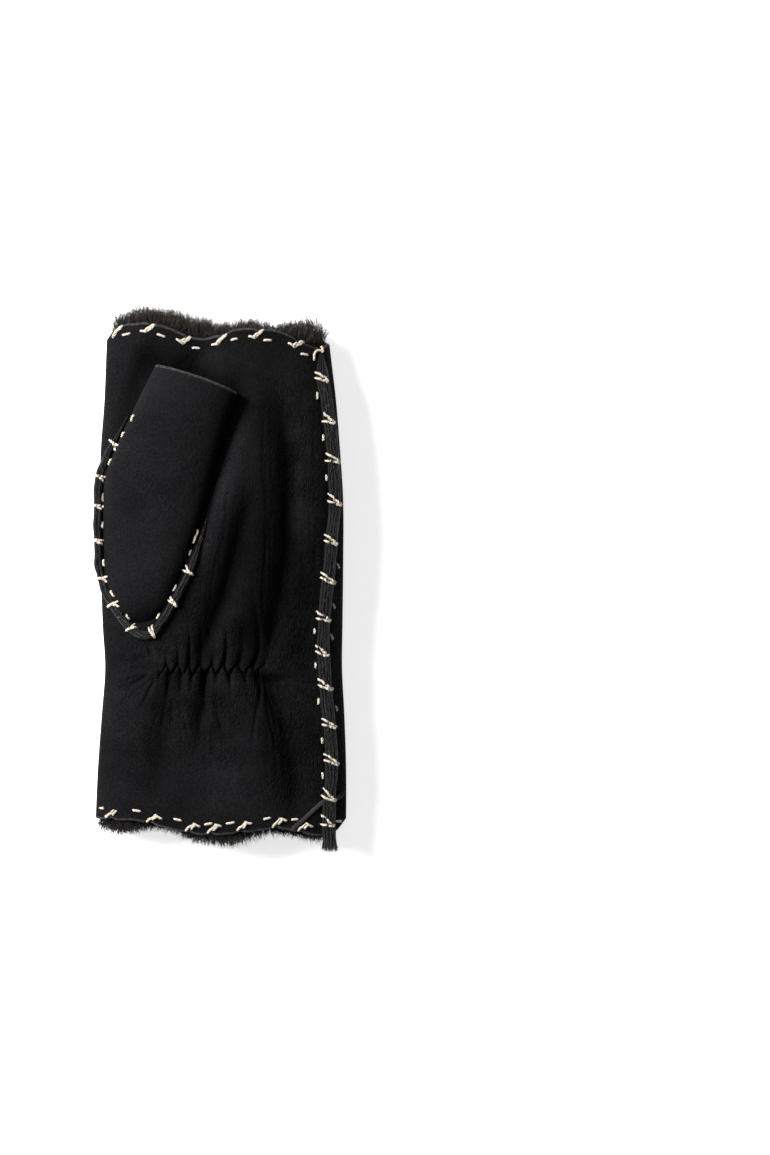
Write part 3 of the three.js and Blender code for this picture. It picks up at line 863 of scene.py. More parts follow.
def ring_mesh(name: str, rings: Sequence[Array], looped: bool, slots: Sequence[int] = ()) -> Any:
    """A closed mesh through rings of points.

    Args:
        name: The object's name.
        rings: Equal rings of points, in metres.
        looped: Whether the last ring joins the first; otherwise both ends are capped.
        slots: The material slot of the faces after each ring.

    Returns:
        The object, linked to the scene.
    """
    count = len(rings[0])
    steps = len(rings) if looped else len(rings) - 1
    i = np.repeat(np.arange(steps), count)
    j = np.tile(np.arange(count), steps)
    k = (j + 1) % count
    up = (i + 1) % len(rings)
    faces = np.stack([i * count + j, i * count + k, up * count + k, up * count + j], axis=1).tolist()
    if not looped:
        faces.append(list(range(count))[::-1])
        faces.append([(len(rings) - 1) * count + n for n in range(count)])
    mesh = bpy.data.meshes.new(name)
    mesh.from_pydata(np.concatenate(rings).tolist(), [], faces)
    if slots:
        indices = np.repeat(np.asarray(slots, dtype=np.int32)[:steps], count)
        mesh.polygons.foreach_set("material_index", indices)
    made = link(name, mesh)
    face_out(made)
    return made


def face_out(piece: Any) -> None:
    """Turns a closed mesh's faces outwards and shades it smooth.

    Args:
        piece: The object.
    """
    shape = bmesh.new()
    shape.from_mesh(piece.data)
    bmesh.ops.recalc_face_normals(shape, faces=shape.faces)
    shape.to_mesh(piece.data)
    shape.free()
    piece.data.shade_smooth()


def settle(piece: Any) -> None:
    """Replaces an object's mesh with its modifiers' result and removes them.

    Args:
        piece: The object.
    """
    graph = bpy.context.evaluated_depsgraph_get()
    result = bpy.data.meshes.new_from_object(piece.evaluated_get(graph))
    piece.modifiers.clear()
    old, piece.data = piece.data, result
    bpy.data.meshes.remove(old)


def cut(piece: Any, cutter: Any) -> None:
    """Takes a closed object away from another, and removes it.

    Args:
        piece: The object that is cut.
        cutter: What is taken away from it.
    """
    change = piece.modifiers.new("cut", "BOOLEAN")
    change.operation = "DIFFERENCE"
    change.solver = "MANIFOLD"
    change.object = cutter
    settle(piece)
    bpy.data.objects.remove(cutter)


def cut_skin(piece: Any, cutter: Any, library: Library) -> None:
    """Cuts a skin, gives it its suede and its paler edges, and shades it smooth.

    Args:
        piece: The skin, whose faces are in slot 0, or in slot 1 on a cut edge.
        cutter: What is taken away from it.
        library: The materials.
    """
    for finish in (library.suede, library.cut_edge):
        piece.data.materials.append(finish)
    cut(piece, cutter)
    while len(piece.data.materials) > 2:
        piece.data.materials.pop()
    piece.data.shade_smooth()
    piece.data.set_sharp_from_angle(angle=math.radians(70))


def cut_mat(mat: Any, cutter: Any, library: Library) -> None:
    """Cuts a wool mat, turns its faces outwards and gives it its wool.

    Args:
        mat: The mat.
        cutter: What is taken away from it.
        library: The materials.
    """
    cut(mat, cutter)
    face_out(mat)
    mat.data.materials.clear()
    mat.data.materials.append(library.wool_mat)


def twin(piece: Any, name: str) -> Any:
    """A copy of an object with its own mesh, for strands to grow from.

    Args:
        piece: The object.
        name: The copy's name.

    Returns:
        The copy, linked to the scene.
    """
    copied = piece.copy()
    copied.data = piece.data.copy()
    copied.name = name
    bpy.context.scene.collection.objects.link(copied)
    return copied


def set_values(mesh: Any, name: str, values: Array) -> None:
    """Stores numbers or vectors on a mesh's points.

    Args:
        mesh: The mesh.
        name: The attribute's name.
        values: One number or vector for each point.
    """
    kind, key = ("FLOAT", "value") if values.ndim == 1 else ("FLOAT_VECTOR", "vector")
    made = mesh.attributes.new(name, kind, "POINT")
    made.data.foreach_set(key, values.astype(np.float32).ravel())


def read_points(piece: Any) -> tuple[Array, Array]:
    """A mesh's points, in millimetres, and their normals.

    Args:
        piece: The object.

    Returns:
        The points and the normals.
    """
    points = piece.data.vertices
    spots, normals = np.empty(len(points) * 3), np.empty(len(points) * 3)
    points.foreach_get("co", spots)
    points.foreach_get("normal", normals)
    return spots.reshape(-1, 3) / MM, normals.reshape(-1, 3)


class Nodes:
    """A node tree and what is added to it."""

    def __init__(self, tree: Any) -> None:
        """Keeps the tree."""
        self.tree = tree

    def join(self, value: Any, socket: Any) -> None:
        """Gives a socket a value, or links another socket to it.

        Args:
            value: The value or the other socket.
            socket: The input socket.
        """
        if isinstance(value, bpy.types.NodeSocket):
            self.tree.links.new(value, socket)
        else:
            socket.default_value = value

    def add(self, kind: str, inputs: dict | None = None, **settings: Any) -> Any:
        """Adds a node, sets it up and joins its inputs.

        Args:
            kind: The node's type.
            inputs: Values or sockets by input name or index.
            settings: The node's own properties.

        Returns:
            The node's outputs.
        """
        node = self.tree.nodes.new(kind)
        for key, value in settings.items():
            setattr(node, key, value)
        for key, value in (inputs or {}).items():
            self.join(value, node.inputs[key])
        return node.outputs

    def form(self, kind: str, inputs: dict | None = None, **settings: Any) -> Any:
        """The first output of a new geometry node."""
        return self.add(f"GeometryNode{kind}", inputs, **settings)[0]

    def maths(self, operation: str, *terms: Any) -> Any:
        """The output of a Math node over numbers or sockets."""
        return self.add("ShaderNodeMath", dict(enumerate(terms)), operation=operation)[0]

    def plus(self, one: Any, other: Any) -> Any:
        """The sum of two numbers or sockets."""
        return self.maths("ADD", one, other)

    def minus(self, one: Any, other: Any) -> Any:
        """One number or socket less another."""
        return self.maths("SUBTRACT", one, other)

    def times(self, one: Any, other: Any) -> Any:
        """The product of two numbers or sockets."""
        return self.maths("MULTIPLY", one, other)

    def raised(self, base: Any, exponent: float) -> Any:
        """A number or socket to a power."""
        return self.maths("POWER", base, exponent)

    def vector(self, operation: str, *terms: Any) -> Any:
        """The output of a Vector Math node over vectors or sockets."""
        return self.add("ShaderNodeVectorMath", dict(enumerate(terms)), operation=operation)[0]

    def scaled(self, vector: Any, factor: Any) -> Any:
        """A vector times a number, each a value or a socket."""
        return self.add("ShaderNodeVectorMath", {0: vector, "Scale": factor}, operation="SCALE")[0]

    def noise(
        self,
        at: Any,
        scale: Any,
        detail: float = 2,
        rough: float = 0.55,
        bend: float = 0,
        output: str = "Fac",
    ) -> Any:
        """An output of a noise texture at a vector socket."""
        inputs = {"Vector": at, "Scale": scale, "Detail": detail, "Roughness": rough, "Distortion": bend}
        return self.add("ShaderNodeTexNoise", inputs)[output]

    def ranged(self, value: Any, low: float, high: float) -> Any:
        """A socket stretched to run from 0 at low to 1 at high."""
        return self.add("ShaderNodeMapRange", {"Value": value, "From Min": low, "From Max": high})["Result"]

    def stored(self, name: str, kind: str = "FLOAT") -> Any:
        """The socket of a mesh's attribute, in a geometry tree."""
        return self.add("GeometryNodeInputNamedAttribute", {"Name": name}, data_type=kind)["Attribute"]

    def read(self, name: str, output: str = "Fac") -> Any:
        """The socket of a mesh's attribute, in a shader tree."""
        return self.add("ShaderNodeAttribute", attribute_name=name)[output]

    def place(self) -> Any:
        """The socket of the place on the piece itself, in a shader tree."""
        return self.add("ShaderNodeTexCoord")["Object"]


class Group(Nodes):
    """A node group with named sockets."""

    def __init__(self, name: str, inputs: dict[str, Any], outputs: str = "") -> None:
        """Makes a shader group with number outputs, or without them a modifier's group.

        Args:
            name: The group's name.
            inputs: Each input's default, or its type in words.
            outputs: Names of the number outputs.
        """
        kind = "Shader" if outputs else "Geometry"
        super().__init__(bpy.data.node_groups.new(name, f"{kind}NodeTree"))
        if not outputs:
            self.tree.is_modifier = True
            inputs = {"Geometry": "Geometry", **inputs, "Finish": "Material"}
        for label, value in inputs.items():
            sort = value if isinstance(value, str) else {int: "Int", float: "Float"}[type(value)]
            made = self.socket(label, "INPUT", sort)
            if not isinstance(value, str):
                made.default_value = value
        for label in outputs.split() or ["Geometry"]:
            self.socket(label, "OUTPUT", "Float" if outputs else "Geometry")
        self.given = self.tree.nodes.new("NodeGroupInput").outputs
        self.results = self.tree.nodes.new("NodeGroupOutput").inputs

    def socket(self, label: str, side: str, sort: str) -> Any:
        """A new socket of the group's interface."""
        kind = f"NodeSocket{sort}"
        return self.tree.interface.new_socket(name=label, in_out=side, socket_type=kind)

    def end(self, mesh: Any) -> Any:
        """Gives a mesh socket the finish as the result, and returns the node tree."""
        final = self.form("SetMaterial", {"Geometry": mesh, "Material": self.given["Finish"]})
        self.join(final, self.results[0])
        return self.tree


def hide_grain_group() -> Any:
    """The grain of a brushed hide: blotches for its colour and heights for its nap.

    Returns:
        The shader node group, with Blotch and Height outputs.
    """
    inputs = {"Vector": "Vector", "Blotch Scale": 22.0, "Nap": 0.4, "Wrinkle": 0.5}
    group = Group("hide_grain", inputs, "Blotch Height")
    given = group.given
    vector = given["Vector"]
    broad = group.noise(vector, given["Blotch Scale"], 6.0, 0.62, 0.6)
    cloud = group.noise(vector, 140.0, 4.0, 0.6)
    speck = group.noise(vector, 1500.0, 2.0, 0.8)
    blotch = group.plus(group.times(broad, 0.6), group.times(cloud, 0.16))
    blotch = group.plus(blotch, group.times(group.minus(speck, 0.39), 1.1))
    group.join(group.ranged(blotch, 0.36, 0.66), group.results["Blotch"])
    warp = group.scaled(group.noise(vector, 160.0, output="Color"), 0.004)
    stretched = group.vector("MULTIPLY", group.vector("ADD", vector, warp), (1.0, 0.5, 1.0))
    height = group.times(group.noise(vector, 1700.0, 2.0, 0.7), given["Nap"])
    for scale, deep in ((620.0, 1.0), (1300.0, 0.8)):
        inputs = {"Vector": stretched, "Scale": scale}
        cells = group.add("ShaderNodeTexVoronoi", inputs, feature="DISTANCE_TO_EDGE")["Distance"]
        plump = group.raised(group.maths("MINIMUM", group.times(cells, 3.2), 1.0), 0.6)
        patch = group.ranged(group.noise(vector, scale / 10), 0.38, 0.66)
        layer = group.times(plump, group.times(patch, given["Wrinkle"]))
        height = group.plus(height, group.times(layer, deep))
    group.join(height, group.results["Height"])
    return group.tree


def streak_group() -> Any:
    """Streaks along a piece whose grain attribute holds run, offset and height.

    Returns:
        The shader node group, with a Streak output.
    """
    group = Group("streaks", {"Vector": "Vector", "Along": 60.0, "Across": 2200.0}, "Streak")
    given = group.given
    stretch = {"X": given["Along"], "Y": given["Across"], "Z": given["Across"]}
    place = group.vector("MULTIPLY", given["Vector"], group.add("ShaderNodeCombineXYZ", stretch)[0])
    group.join(group.noise(place, 1.0, 4.0, 0.65, 0.4), group.results["Streak"])
    return group.tree


@dataclass(frozen=True)
class Finish(ABC):
    """A finish whose look varies between a dark and a light colour."""

    name: str
    dark: Colour
    light: Colour
    roughness: float
    sheen: float
    specular: float = 0.3
    sheen_tint: Colour = (1.0, 1.0, 1.0)
    bump: float = 0.0004

    def build(self, shared: Any = None) -> Any:
        """A new material of the finish, with its plain values on the shader itself.

        Args:
            shared: The node group that it uses, if any.

        Returns:
            The material.
        """
        material = bpy.data.materials.new(self.name)
        material.use_nodes = True
        material.diffuse_color = (*self.light, 1.0)
        sockets = material.node_tree.nodes["Principled BSDF"].inputs
        sockets["Roughness"].default_value = self.roughness
        sockets["Sheen Weight"].default_value = self.sheen
        sockets["Sheen Roughness"].default_value = 0.4
        sockets["Sheen Tint"].default_value = (*self.sheen_tint, 1.0)
        sockets["Specular IOR Level"].default_value = self.specular
        self.paint(Nodes(material.node_tree), sockets, shared)
        return material

    @abstractmethod
    def paint(self, nodes: Nodes, sockets: Any, shared: Any) -> None:
        """Joins what varies over the piece to the shader."""

    def blend(self, nodes: Nodes, factor: Any) -> Any:
        """A colour between the finish's dark and light by a factor socket."""
        ends = {"Factor": factor, 6: (*self.dark, 1.0), 7: (*self.light, 1.0)}
        return nodes.add("ShaderNodeMix", ends, data_type="RGBA")[2]

    def emboss(self, nodes: Nodes, sockets: Any, height: Any) -> None:
        """Joins a height to the shader as its bump."""
        inputs = {"Height": height, "Strength": 1.0, "Distance": self.bump}
        nodes.join(nodes.add("ShaderNodeBump", inputs)["Normal"], sockets["Normal"])


@dataclass(frozen=True)
class GrainedFinish(Finish):
    """A finish whose one grain varies its colour and is its bump."""

    def paint(self, nodes: Nodes, sockets: Any, shared: Any) -> None:
        """Joins the grain to the shader as its colour and its bump.

        Args:
            nodes: The material's nodes.
            sockets: The shader's inputs.
            shared: The node group that the grain comes from, if any.
        """
        grain = self.grain(nodes, shared)
        nodes.join(self.blend(nodes, nodes.ranged(grain, 0.3, 0.7)), sockets["Base Color"])
        self.emboss(nodes, sockets, grain)

    @abstractmethod
    def grain(self, nodes: Nodes, shared: Any) -> Any:
        """The socket of the grain's height, mostly between 0.3 and 0.7."""


@dataclass(frozen=True)
class SuedeFinish(Finish):
    """Brushed black suede with soft blotches, nap and fine wrinkles, and shade and light painted into its
    colour.
    """

    blotch: float = 22.0
    nap: float = 0.7
    wrinkle: float = 1.5

    def paint(self, nodes: Nodes, sockets: Any, shared: Any) -> None:
        """Joins the hide, wrinkled where it is creased and with shade painted into its colour in its hollows,
        to the shader.

        Args:
            nodes: The material's nodes.
            sockets: The shader's inputs.
            shared: The shared grain group.
        """
        wrinkle = nodes.times(nodes.plus(nodes.read("creasing"), 0.3), self.wrinkle)
        inputs = {"Vector": nodes.place(), "Blotch Scale": self.blotch, "Nap": self.nap, "Wrinkle": wrinkle}
        hide = nodes.add("ShaderNodeGroup", inputs, node_tree=shared)
        # Painted shade and light: the colour is scaled by one less the painted shade, so it is darker in
        # painted shade and lighter where it is below zero.
        painted_light = nodes.minus(1.0, nodes.read("painted_shade_and_mottle"))
        nodes.join(nodes.scaled(self.blend(nodes, hide["Blotch"]), painted_light), sockets["Base Color"])
        ends = {"Value": hide["Blotch"], "To Min": self.roughness + 0.08, "To Max": self.roughness - 0.08}
        nodes.join(nodes.add("ShaderNodeMapRange", ends)["Result"], sockets["Roughness"])
        self.emboss(nodes, sockets, hide["Height"])


@dataclass(frozen=True)
class StreakedFinish(GrainedFinish):
    """Cut edges of skin and wool, or a lace, streaked along the piece."""

    along: float = 60.0
    across: float = 2200.0

    def grain(self, nodes: Nodes, shared: Any) -> Any:
        """The socket of the streaks, from the shared streak group."""
        inputs = {"Vector": nodes.read("grain", "Vector"), "Along": self.along, "Across": self.across}
        return nodes.add("ShaderNodeGroup", inputs, node_tree=shared)["Streak"]


@dataclass(frozen=True)
class PlainFinish(GrainedFinish):
    """A fine surface whose colour drifts with a noise on the piece's own place."""

    scale: float = 900.0

    def grain(self, nodes: Nodes, shared: Any) -> Any:
        """The socket of the noise."""
        return nodes.noise(nodes.place(), self.scale, 4.0, 0.6)


@dataclass(frozen=True)
class WoolFinish(Finish):
    """Strands of wool."""

    def paint(self, nodes: Nodes, sockets: Any, shared: Any) -> None:
        """Joins a colour that is dark at the root and paler at the tip to the shader."""
        drift = nodes.plus(nodes.noise(nodes.place(), 260.0, 3.0, 0.6), 0.35)
        pale = nodes.times(nodes.raised(nodes.read("tip"), 1.4), drift)
        nodes.join(self.blend(nodes, nodes.maths("MINIMUM", pale, 1.0)), sockets["Base Color"])


# Each finish: its name, dark and light colours, roughness, sheen, specular and what is its own.
SUEDE = SuedeFinish(
    "black_suede",
    (0.0041, 0.004, 0.0045),
    (0.0096, 0.0093, 0.0103),
    0.72,
    0.003,
    0.012,
    (0.8, 0.8, 0.86),
    bump=0.00042,
)
CUT_EDGE = PlainFinish(
    "cut_hide_edge", (0.004, 0.004, 0.0045), (0.046, 0.045, 0.047), 0.9, 0.05, 0.15, bump=0.0002
)
RAW_SEAM = StreakedFinish(
    "raw_seam_edges", (0.0016, 0.0016, 0.0019), (0.0105, 0.0105, 0.0118), 0.82, 0.03, 0.15
)
LACE = StreakedFinish("dark_lace", (0.011, 0.011, 0.012), (0.036, 0.036, 0.04), 0.8, 0.03, 0.15)
WOOL_MAT = PlainFinish(
    "wool_ground", (0.004, 0.0037, 0.0035), (0.014, 0.012, 0.011), 0.95, 0.05, 0.1, bump=0.0008, scale=700.0
)
PILE_WOOL = WoolFinish(
    "wool_pile", (0.004, 0.0037, 0.0035), (0.078, 0.066, 0.059), 0.8, 0.05, 0.2, (0.9, 0.82, 0.76)
)
DARK_PILE = WoolFinish("dark_wool_pile", (0.0028, 0.0026, 0.0025), (0.036, 0.0315, 0.028), 0.85, 0.03, 0.1)
SEAM_WOOL = WoolFinish("seam_fibres", (0.003, 0.003, 0.0033), (0.032, 0.032, 0.035), 0.85, 0.2)
THREAD = PlainFinish(
    "cream_thread", (0.46, 0.4, 0.32), (0.68, 0.62, 0.54), 0.8, 0.05, 0.15, bump=0.00015, scale=1600.0
)


def pile_tree() -> Any:
    """Strands of wool over a mat, by its pile, comb and reach attributes.

    Returns:
        The geometry node tree.
    """
    sizes = {"Density": 3.0e6, "Thickness": 0.0001, "Scatter": 0.3, "Clump": 0.0012, "Crimp": 0.0004}
    group = Group("wool_pile", {**sizes, "Even": 0.05, "Tufts": 1.9, "Seed": 0})
    given = group.given

    def chance(low: Any, high: Any, kind: str, offset: float) -> Any:
        """The socket of a random value for each strand.

        Args:
            low: The least value.
            high: The greatest value.
            kind: The value's type.
            offset: What is added to the group's seed.

        Returns:
            The output socket.
        """
        node = group.tree.nodes.new("FunctionNodeRandomValue")
        node.data_type = kind
        live = [s for s in node.inputs if s.enabled]
        live[0].default_value, live[1].default_value = low, high
        group.join(group.plus(given["Seed"], offset), node.inputs["Seed"])
        return next(s for s in node.outputs if s.enabled)

    density = group.times(given["Density"], group.stored("pile"))
    spots = {"Mesh": given["Geometry"], "Density": density, "Seed": given["Seed"]}
    roots = group.form("DistributePointsOnFaces", spots)
    line = group.form("CurvePrimitiveLine", {"End": (0, 0, 1)})
    steps = group.form("ResampleCurve", {"Curve": line, "Count": 4})
    factor = group.form("SplineParameter")
    tips = {"Geometry": steps, "Name": "tip", "Value": factor}
    marked = group.form("StoreNamedAttribute", tips, data_type="FLOAT")
    ring = group.form("CurvePrimitiveCircle", {"Radius": given["Thickness"], "Resolution": 3})
    taper = group.minus(1.0, group.times(group.raised(factor, 2.0), 0.8))
    sweep = {"Curve": marked, "Profile Curve": ring, "Scale": taper, "Fill Caps": True}
    strand = group.form("CurveToMesh", sweep)
    spread = group.scaled(chance((-1, -1, -1), (1, 1, 1), "FLOAT_VECTOR", 11.0), given["Scatter"])
    way = group.vector("ADD", group.stored("comb", "FLOAT_VECTOR"), spread)
    turned = group.add("FunctionNodeAlignRotationToVector", {"Vector": way}, axis="Z")[0]
    spot = group.form("InputPosition")
    tall = group.plus(given["Even"], group.times(group.noise(spot, 300.0), given["Tufts"]))
    reach = group.times(group.times(group.stored("reach"), chance(0.3, 1.2, "FLOAT", 23.0)), tall)
    size = group.add("ShaderNodeCombineXYZ", {"X": 1.0, "Y": 1.0, "Z": reach})[0]
    standing = {"Points": roots, "Instance": strand, "Rotation": turned, "Scale": size}
    real = group.form("RealizeInstances", {"Geometry": group.form("InstanceOnPoints", standing)})
    tip = group.raised(group.stored("tip"), 1.5)
    moves = []
    for name, scale, detail in (("Clump", 520.0, 1.0), ("Crimp", 1500.0, 0.0)):
        cloud = group.noise(spot, scale, detail, output="Color")
        centred = group.vector("SUBTRACT", cloud, (0.5, 0.5, 0.5))
        moves.append(group.scaled(group.scaled(centred, given[name]), tip))
    return group.end(group.form("SetPosition", {"Geometry": real, "Offset": group.vector("ADD", *moves)}))


def thread_tree() -> Any:
    """Three-ply thread along every edge path of a mesh.

    Returns:
        The geometry node tree.
    """
    sizes = {"Ply Radius": 0.0003, "Ply Offset": 0.0003, "Twist": 1500.0, "Step": 0.00045}
    group = Group("three_ply_thread", sizes)
    given = group.given
    paths = group.form("MeshToCurve", {"Mesh": given["Geometry"]})
    even_paths = group.form("ResampleCurve", {"Curve": paths, "Length": given["Step"]}, mode="LENGTH")
    along = group.add("GeometryNodeSplineParameter")
    tilt = group.times(along["Length"], given["Twist"])
    twisted = group.form("SetCurveTilt", {"Curve": even_paths, "Tilt": tilt})
    hub = group.form("CurvePrimitiveCircle", {"Radius": given["Ply Offset"], "Resolution": 3})
    ply = group.form("CurvePrimitiveCircle", {"Radius": given["Ply Radius"], "Resolution": 5})
    plies = group.form("InstanceOnPoints", {"Points": hub, "Instance": ply})
    profile = group.form("RealizeInstances", {"Geometry": plies})
    middle = group.maths("ABSOLUTE", group.minus(along["Factor"], 0.5))
    taper = group.minus(1.05, group.times(group.raised(middle, 4.0), 8.0))
    sweep = {"Curve": twisted, "Profile Curve": profile, "Scale": taper, "Fill Caps": True}
    return group.end(group.form("CurveToMesh", sweep))


def run_tree(piece: Any, tree: Any, values: dict[str, Any]) -> None:
    """Runs a geometry node tree over an object and keeps the result as its mesh.

    Args:
        piece: The object.
        tree: The geometry node tree.
        values: Its inputs by name.
    """
    change = piece.modifiers.new(tree.name, "NODES")
    change.node_group = tree
    sockets = {s.name: s.identifier for s in tree.interface.items_tree if s.in_out == "INPUT"}
    for label, value in values.items():
        change[sockets[label]] = value
    settle(piece)


class Library:
    """The shared node trees and every material of the mitten."""

    def __init__(self) -> None:
        """Builds the trees and the materials."""
        self.pile = pile_tree()
        self.thread = thread_tree()
        grain = hide_grain_group()
        streaks = streak_group()
        self.suede = SUEDE.build(grain)
        self.cut_edge = CUT_EDGE.build()
        self.raw_seam = RAW_SEAM.build(streaks)
        self.lace = LACE.build(streaks)
        self.wool_mat = WOOL_MAT.build()
        self.pile_wool = PILE_WOOL.build()
        self.dark_pile = DARK_PILE.build()
        self.seam_wool = SEAM_WOOL.build()
        self.cream = THREAD.build()


def hand_in(piece: Any, slot: str, *nodes: str) -> Any:
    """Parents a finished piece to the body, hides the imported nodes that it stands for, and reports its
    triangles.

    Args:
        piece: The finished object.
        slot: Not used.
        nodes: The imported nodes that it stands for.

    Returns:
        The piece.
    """
    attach(piece, BODY)
    if nodes:
        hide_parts(*nodes)
    faces = sum(len(p.vertices) - 2 for p in piece.data.polygons)
    log.info("%s: %d triangles", piece.name, faces)
    return piece


def grow(piece: Any, library: Library, finish: Any, values: dict[str, Array], **look: Any) -> None:
    """Turns a copied mesh into the strands that grow on it, and parents them to the body.

    Args:
        piece: The copy, which its strands replace.
        library: The node trees.
        finish: The strands' material.
        values: How close they stand, pile, which way they lie, comb, and their length, reach.
        look: The pile tree's other inputs.
    """
    for name, numbers in values.items():
        set_values(piece.data, name, numbers)
    run_tree(piece, library.pile, {**look, "Finish": finish})
    hand_in(piece, "wool")


@dataclass
class HandSkin:
    """The suede sleeve of the hand, with cut hems and the thumb's hole."""

    sleeve: Sleeve
    thumb: ThumbForm
    across_palm: int = 270
    across_back: int = 74
    rows: int = 214
    inner_rows: int = 26
    trim: float = 0.3
    lips: tuple[Place, ...] = ((0.15, 0.35), (0.5, 0.6), (0.95, 0.6), (1.35, 0.3))

    def turns(self) -> Array:
        """Turns of the grid, closest over the gathers.

        Returns:
            The turns, from 0 to just under 1.
        """

        def closeness(turn: Array) -> Array:
            """How close the turns lie, by how far the palm runs between them."""
            x = 50.5 * power(np.cos(turn * 2 * np.pi), 2 / self.sleeve.palm_power)
            step = np.abs(np.gradient(x)) + np.abs(np.gradient(20 * np.sin(turn * 2 * np.pi)))
            near = smoothstep(x, -36, -28) * (1 - smoothstep(x, 20, 28))
            return step * (1 + 0.9 * near)

        palm = weighted(self.across_palm + 1, 0, 0.5, closeness)[:-1]
        return np.concatenate([palm, 0.5 + 0.5 * even(self.across_back)])

    def shares(self) -> Array:
        """Rows of the grid, closest at the gathers' line.

        Returns:
            The shares, from 0 to 1.
        """

        def closeness(share: Array) -> Array:
            """How close the rows lie at each share."""
            off = (-103 + 204 * share - self.sleeve.gather.y) / 9
            return 1 + 3.0 * np.exp(-(off**2))

        return weighted(self.rows, 0, 1, closeness)

    def build(self, library: Library) -> Any:
        """The sleeve's wall with its rounded cut edges.

        Args:
            library: The materials and node trees.

        Returns:
            The object.
        """
        turns, point = self.turns(), self.sleeve.point
        body = [point(turns, share, fine=True) for share in self.shares()]
        rims = [point(turns, share, extra=-self.trim, fine=True) for share in (0.0, 1.0)]
        outer = [body[0], rims[0], *body[1:-1], rims[1], body[-1]]
        finger = [point(turns, 1.0, inset, extra=extra) for inset, extra in self.lips]
        wrist = [point(turns, 0.0, inset, extra=extra) for inset, extra in self.lips[::-1]]
        inner = [point(turns, share, LEATHER) for share in np.linspace(1, 0, self.inner_rows)]
        slots = [1] + [0] * (len(outer) - 3) + [1] * 6 + [0] * (self.inner_rows - 1) + [1] * 5
        piece = ring_mesh("hand_skin", [*outer, *finger, *inner, *wrist], True, slots)
        cut_skin(piece, thumb_solid(self.thumb), library)
        spots, _ = read_points(piece)
        x, y = spots[:, 0], spots[:, 1]
        palm = smoothstep(spots[:, 2] - self.sleeve.section(y, 0)[2], -1, 3)
        set_values(piece.data, "creasing", self.creasing(x, y) * (0.15 + 0.85 * palm))
        # Painted shade and light on the palm, and a patchy darkening of the back.
        set_values(piece.data, "painted_shade_and_mottle", self.sleeve.shade(x, y) * palm + self.mottle(x, y) * (1 - palm))
        return hand_in(piece, "suede", "hand_shell")

    def mottle(self, x: Array, y: Array) -> Array:
        """How dark the back of the hand is made: darkest in a patchy middle.

        Args:
            x: Places across.
            y: Places along.

        Returns:
            The darkening at each place, below 0 where it is paler.
        """
        middle = 0.5 * np.exp(-((x / 30) ** 2) - ((y - 4) / 62) ** 2)
        patches = 0.3 * ripple(x, y, 34, 71) + 0.16 * ripple(x, y, 13, 72)
        return np.clip(middle + patches * 0.7, -0.4, 0.75)

    def creasing(self, x: Array, y: Array) -> Array:
        """How finely creased the skin is: beside the side seam and round the gathers.

        Args:
            x: Places across.
            y: Places along.

        Returns:
            The creasing at each place, 0 to 1.
        """
        panel = smoothstep(x, 18, 30) * (1 - smoothstep(y, 60, 92)) * smoothstep(y, -104, -84)
        off_x, off_y = (x + 4) / 34, (y - self.sleeve.gather.y + 6) / 26
        gathers = np.exp(-(off_x**2 + off_y**2))
        return np.clip(0.8 * panel + 0.8 * gathers, 0, 1)


def thumb_solid(form: ThumbForm, run_on: float = 8.0) -> Any:
    """The room inside the thumb's skin as one closed solid, run on past its tip.

    Args:
        form: The thumb's form.
        run_on: How far it is run on.

    Returns:
        The object.
    """
    turns = even(96)
    rings = [form.point(turns, share, LEATHER) for share in np.linspace(0, 1, 70)]
    return ring_mesh("thumb_room", [*rings, form.point(turns, 1.0, LEATHER, run_on)], False)


def sleeve_solid(form: Sleeve, inset: float) -> Any:
    """The sleeve as one closed solid, taken in by inset."""
    rings = [form.point(even(220), share, inset, fine=True) for share in np.linspace(0, 1, 170)]
    return ring_mesh("sleeve_room", rings, False)


@dataclass
class ThumbSkin:
    """The thumb's suede tube, open at its raw tip."""

    thumb: ThumbForm
    around: int = 150
    rows: int = 150
    inner_rows: int = 40
    trim: float = 0.3
    lips: tuple[Place, ...] = ((0.12, 0.4), (0.5, 0.7), (1.0, 0.7), (1.4, 0.3))

    def build(self, library: Library) -> Any:
        """The thumb's wall, cut off where it meets the hand.

        Args:
            library: The materials and node trees.

        Returns:
            The object.
        """
        turns, point = even(self.around), self.thumb.point
        outer = [point(turns, share, fine=True) for share in np.linspace(0, 1, self.rows)]
        outer.insert(-1, point(turns, 1.0, extra=-self.trim, fine=True))
        tip = [point(turns, 1.0, inset, extra) for inset, extra in self.lips]
        inner = [point(turns, share, LEATHER) for share in np.linspace(1, 0, self.inner_rows)]
        slots = [0] * (len(outer) - 2) + [1] * 6 + [0] * self.inner_rows
        piece = ring_mesh("thumb_skin", [*outer, *tip, *inner], True, slots)
        cut_skin(piece, sleeve_solid(self.thumb.sleeve, -0.1), library)
        # Painted shade on the thumb along its palm side and at its root.
        set_values(piece.data, "painted_shade_and_mottle", self.thumb.shade(read_points(piece)[0]))
        return hand_in(piece, "suede", "thumb_shell")


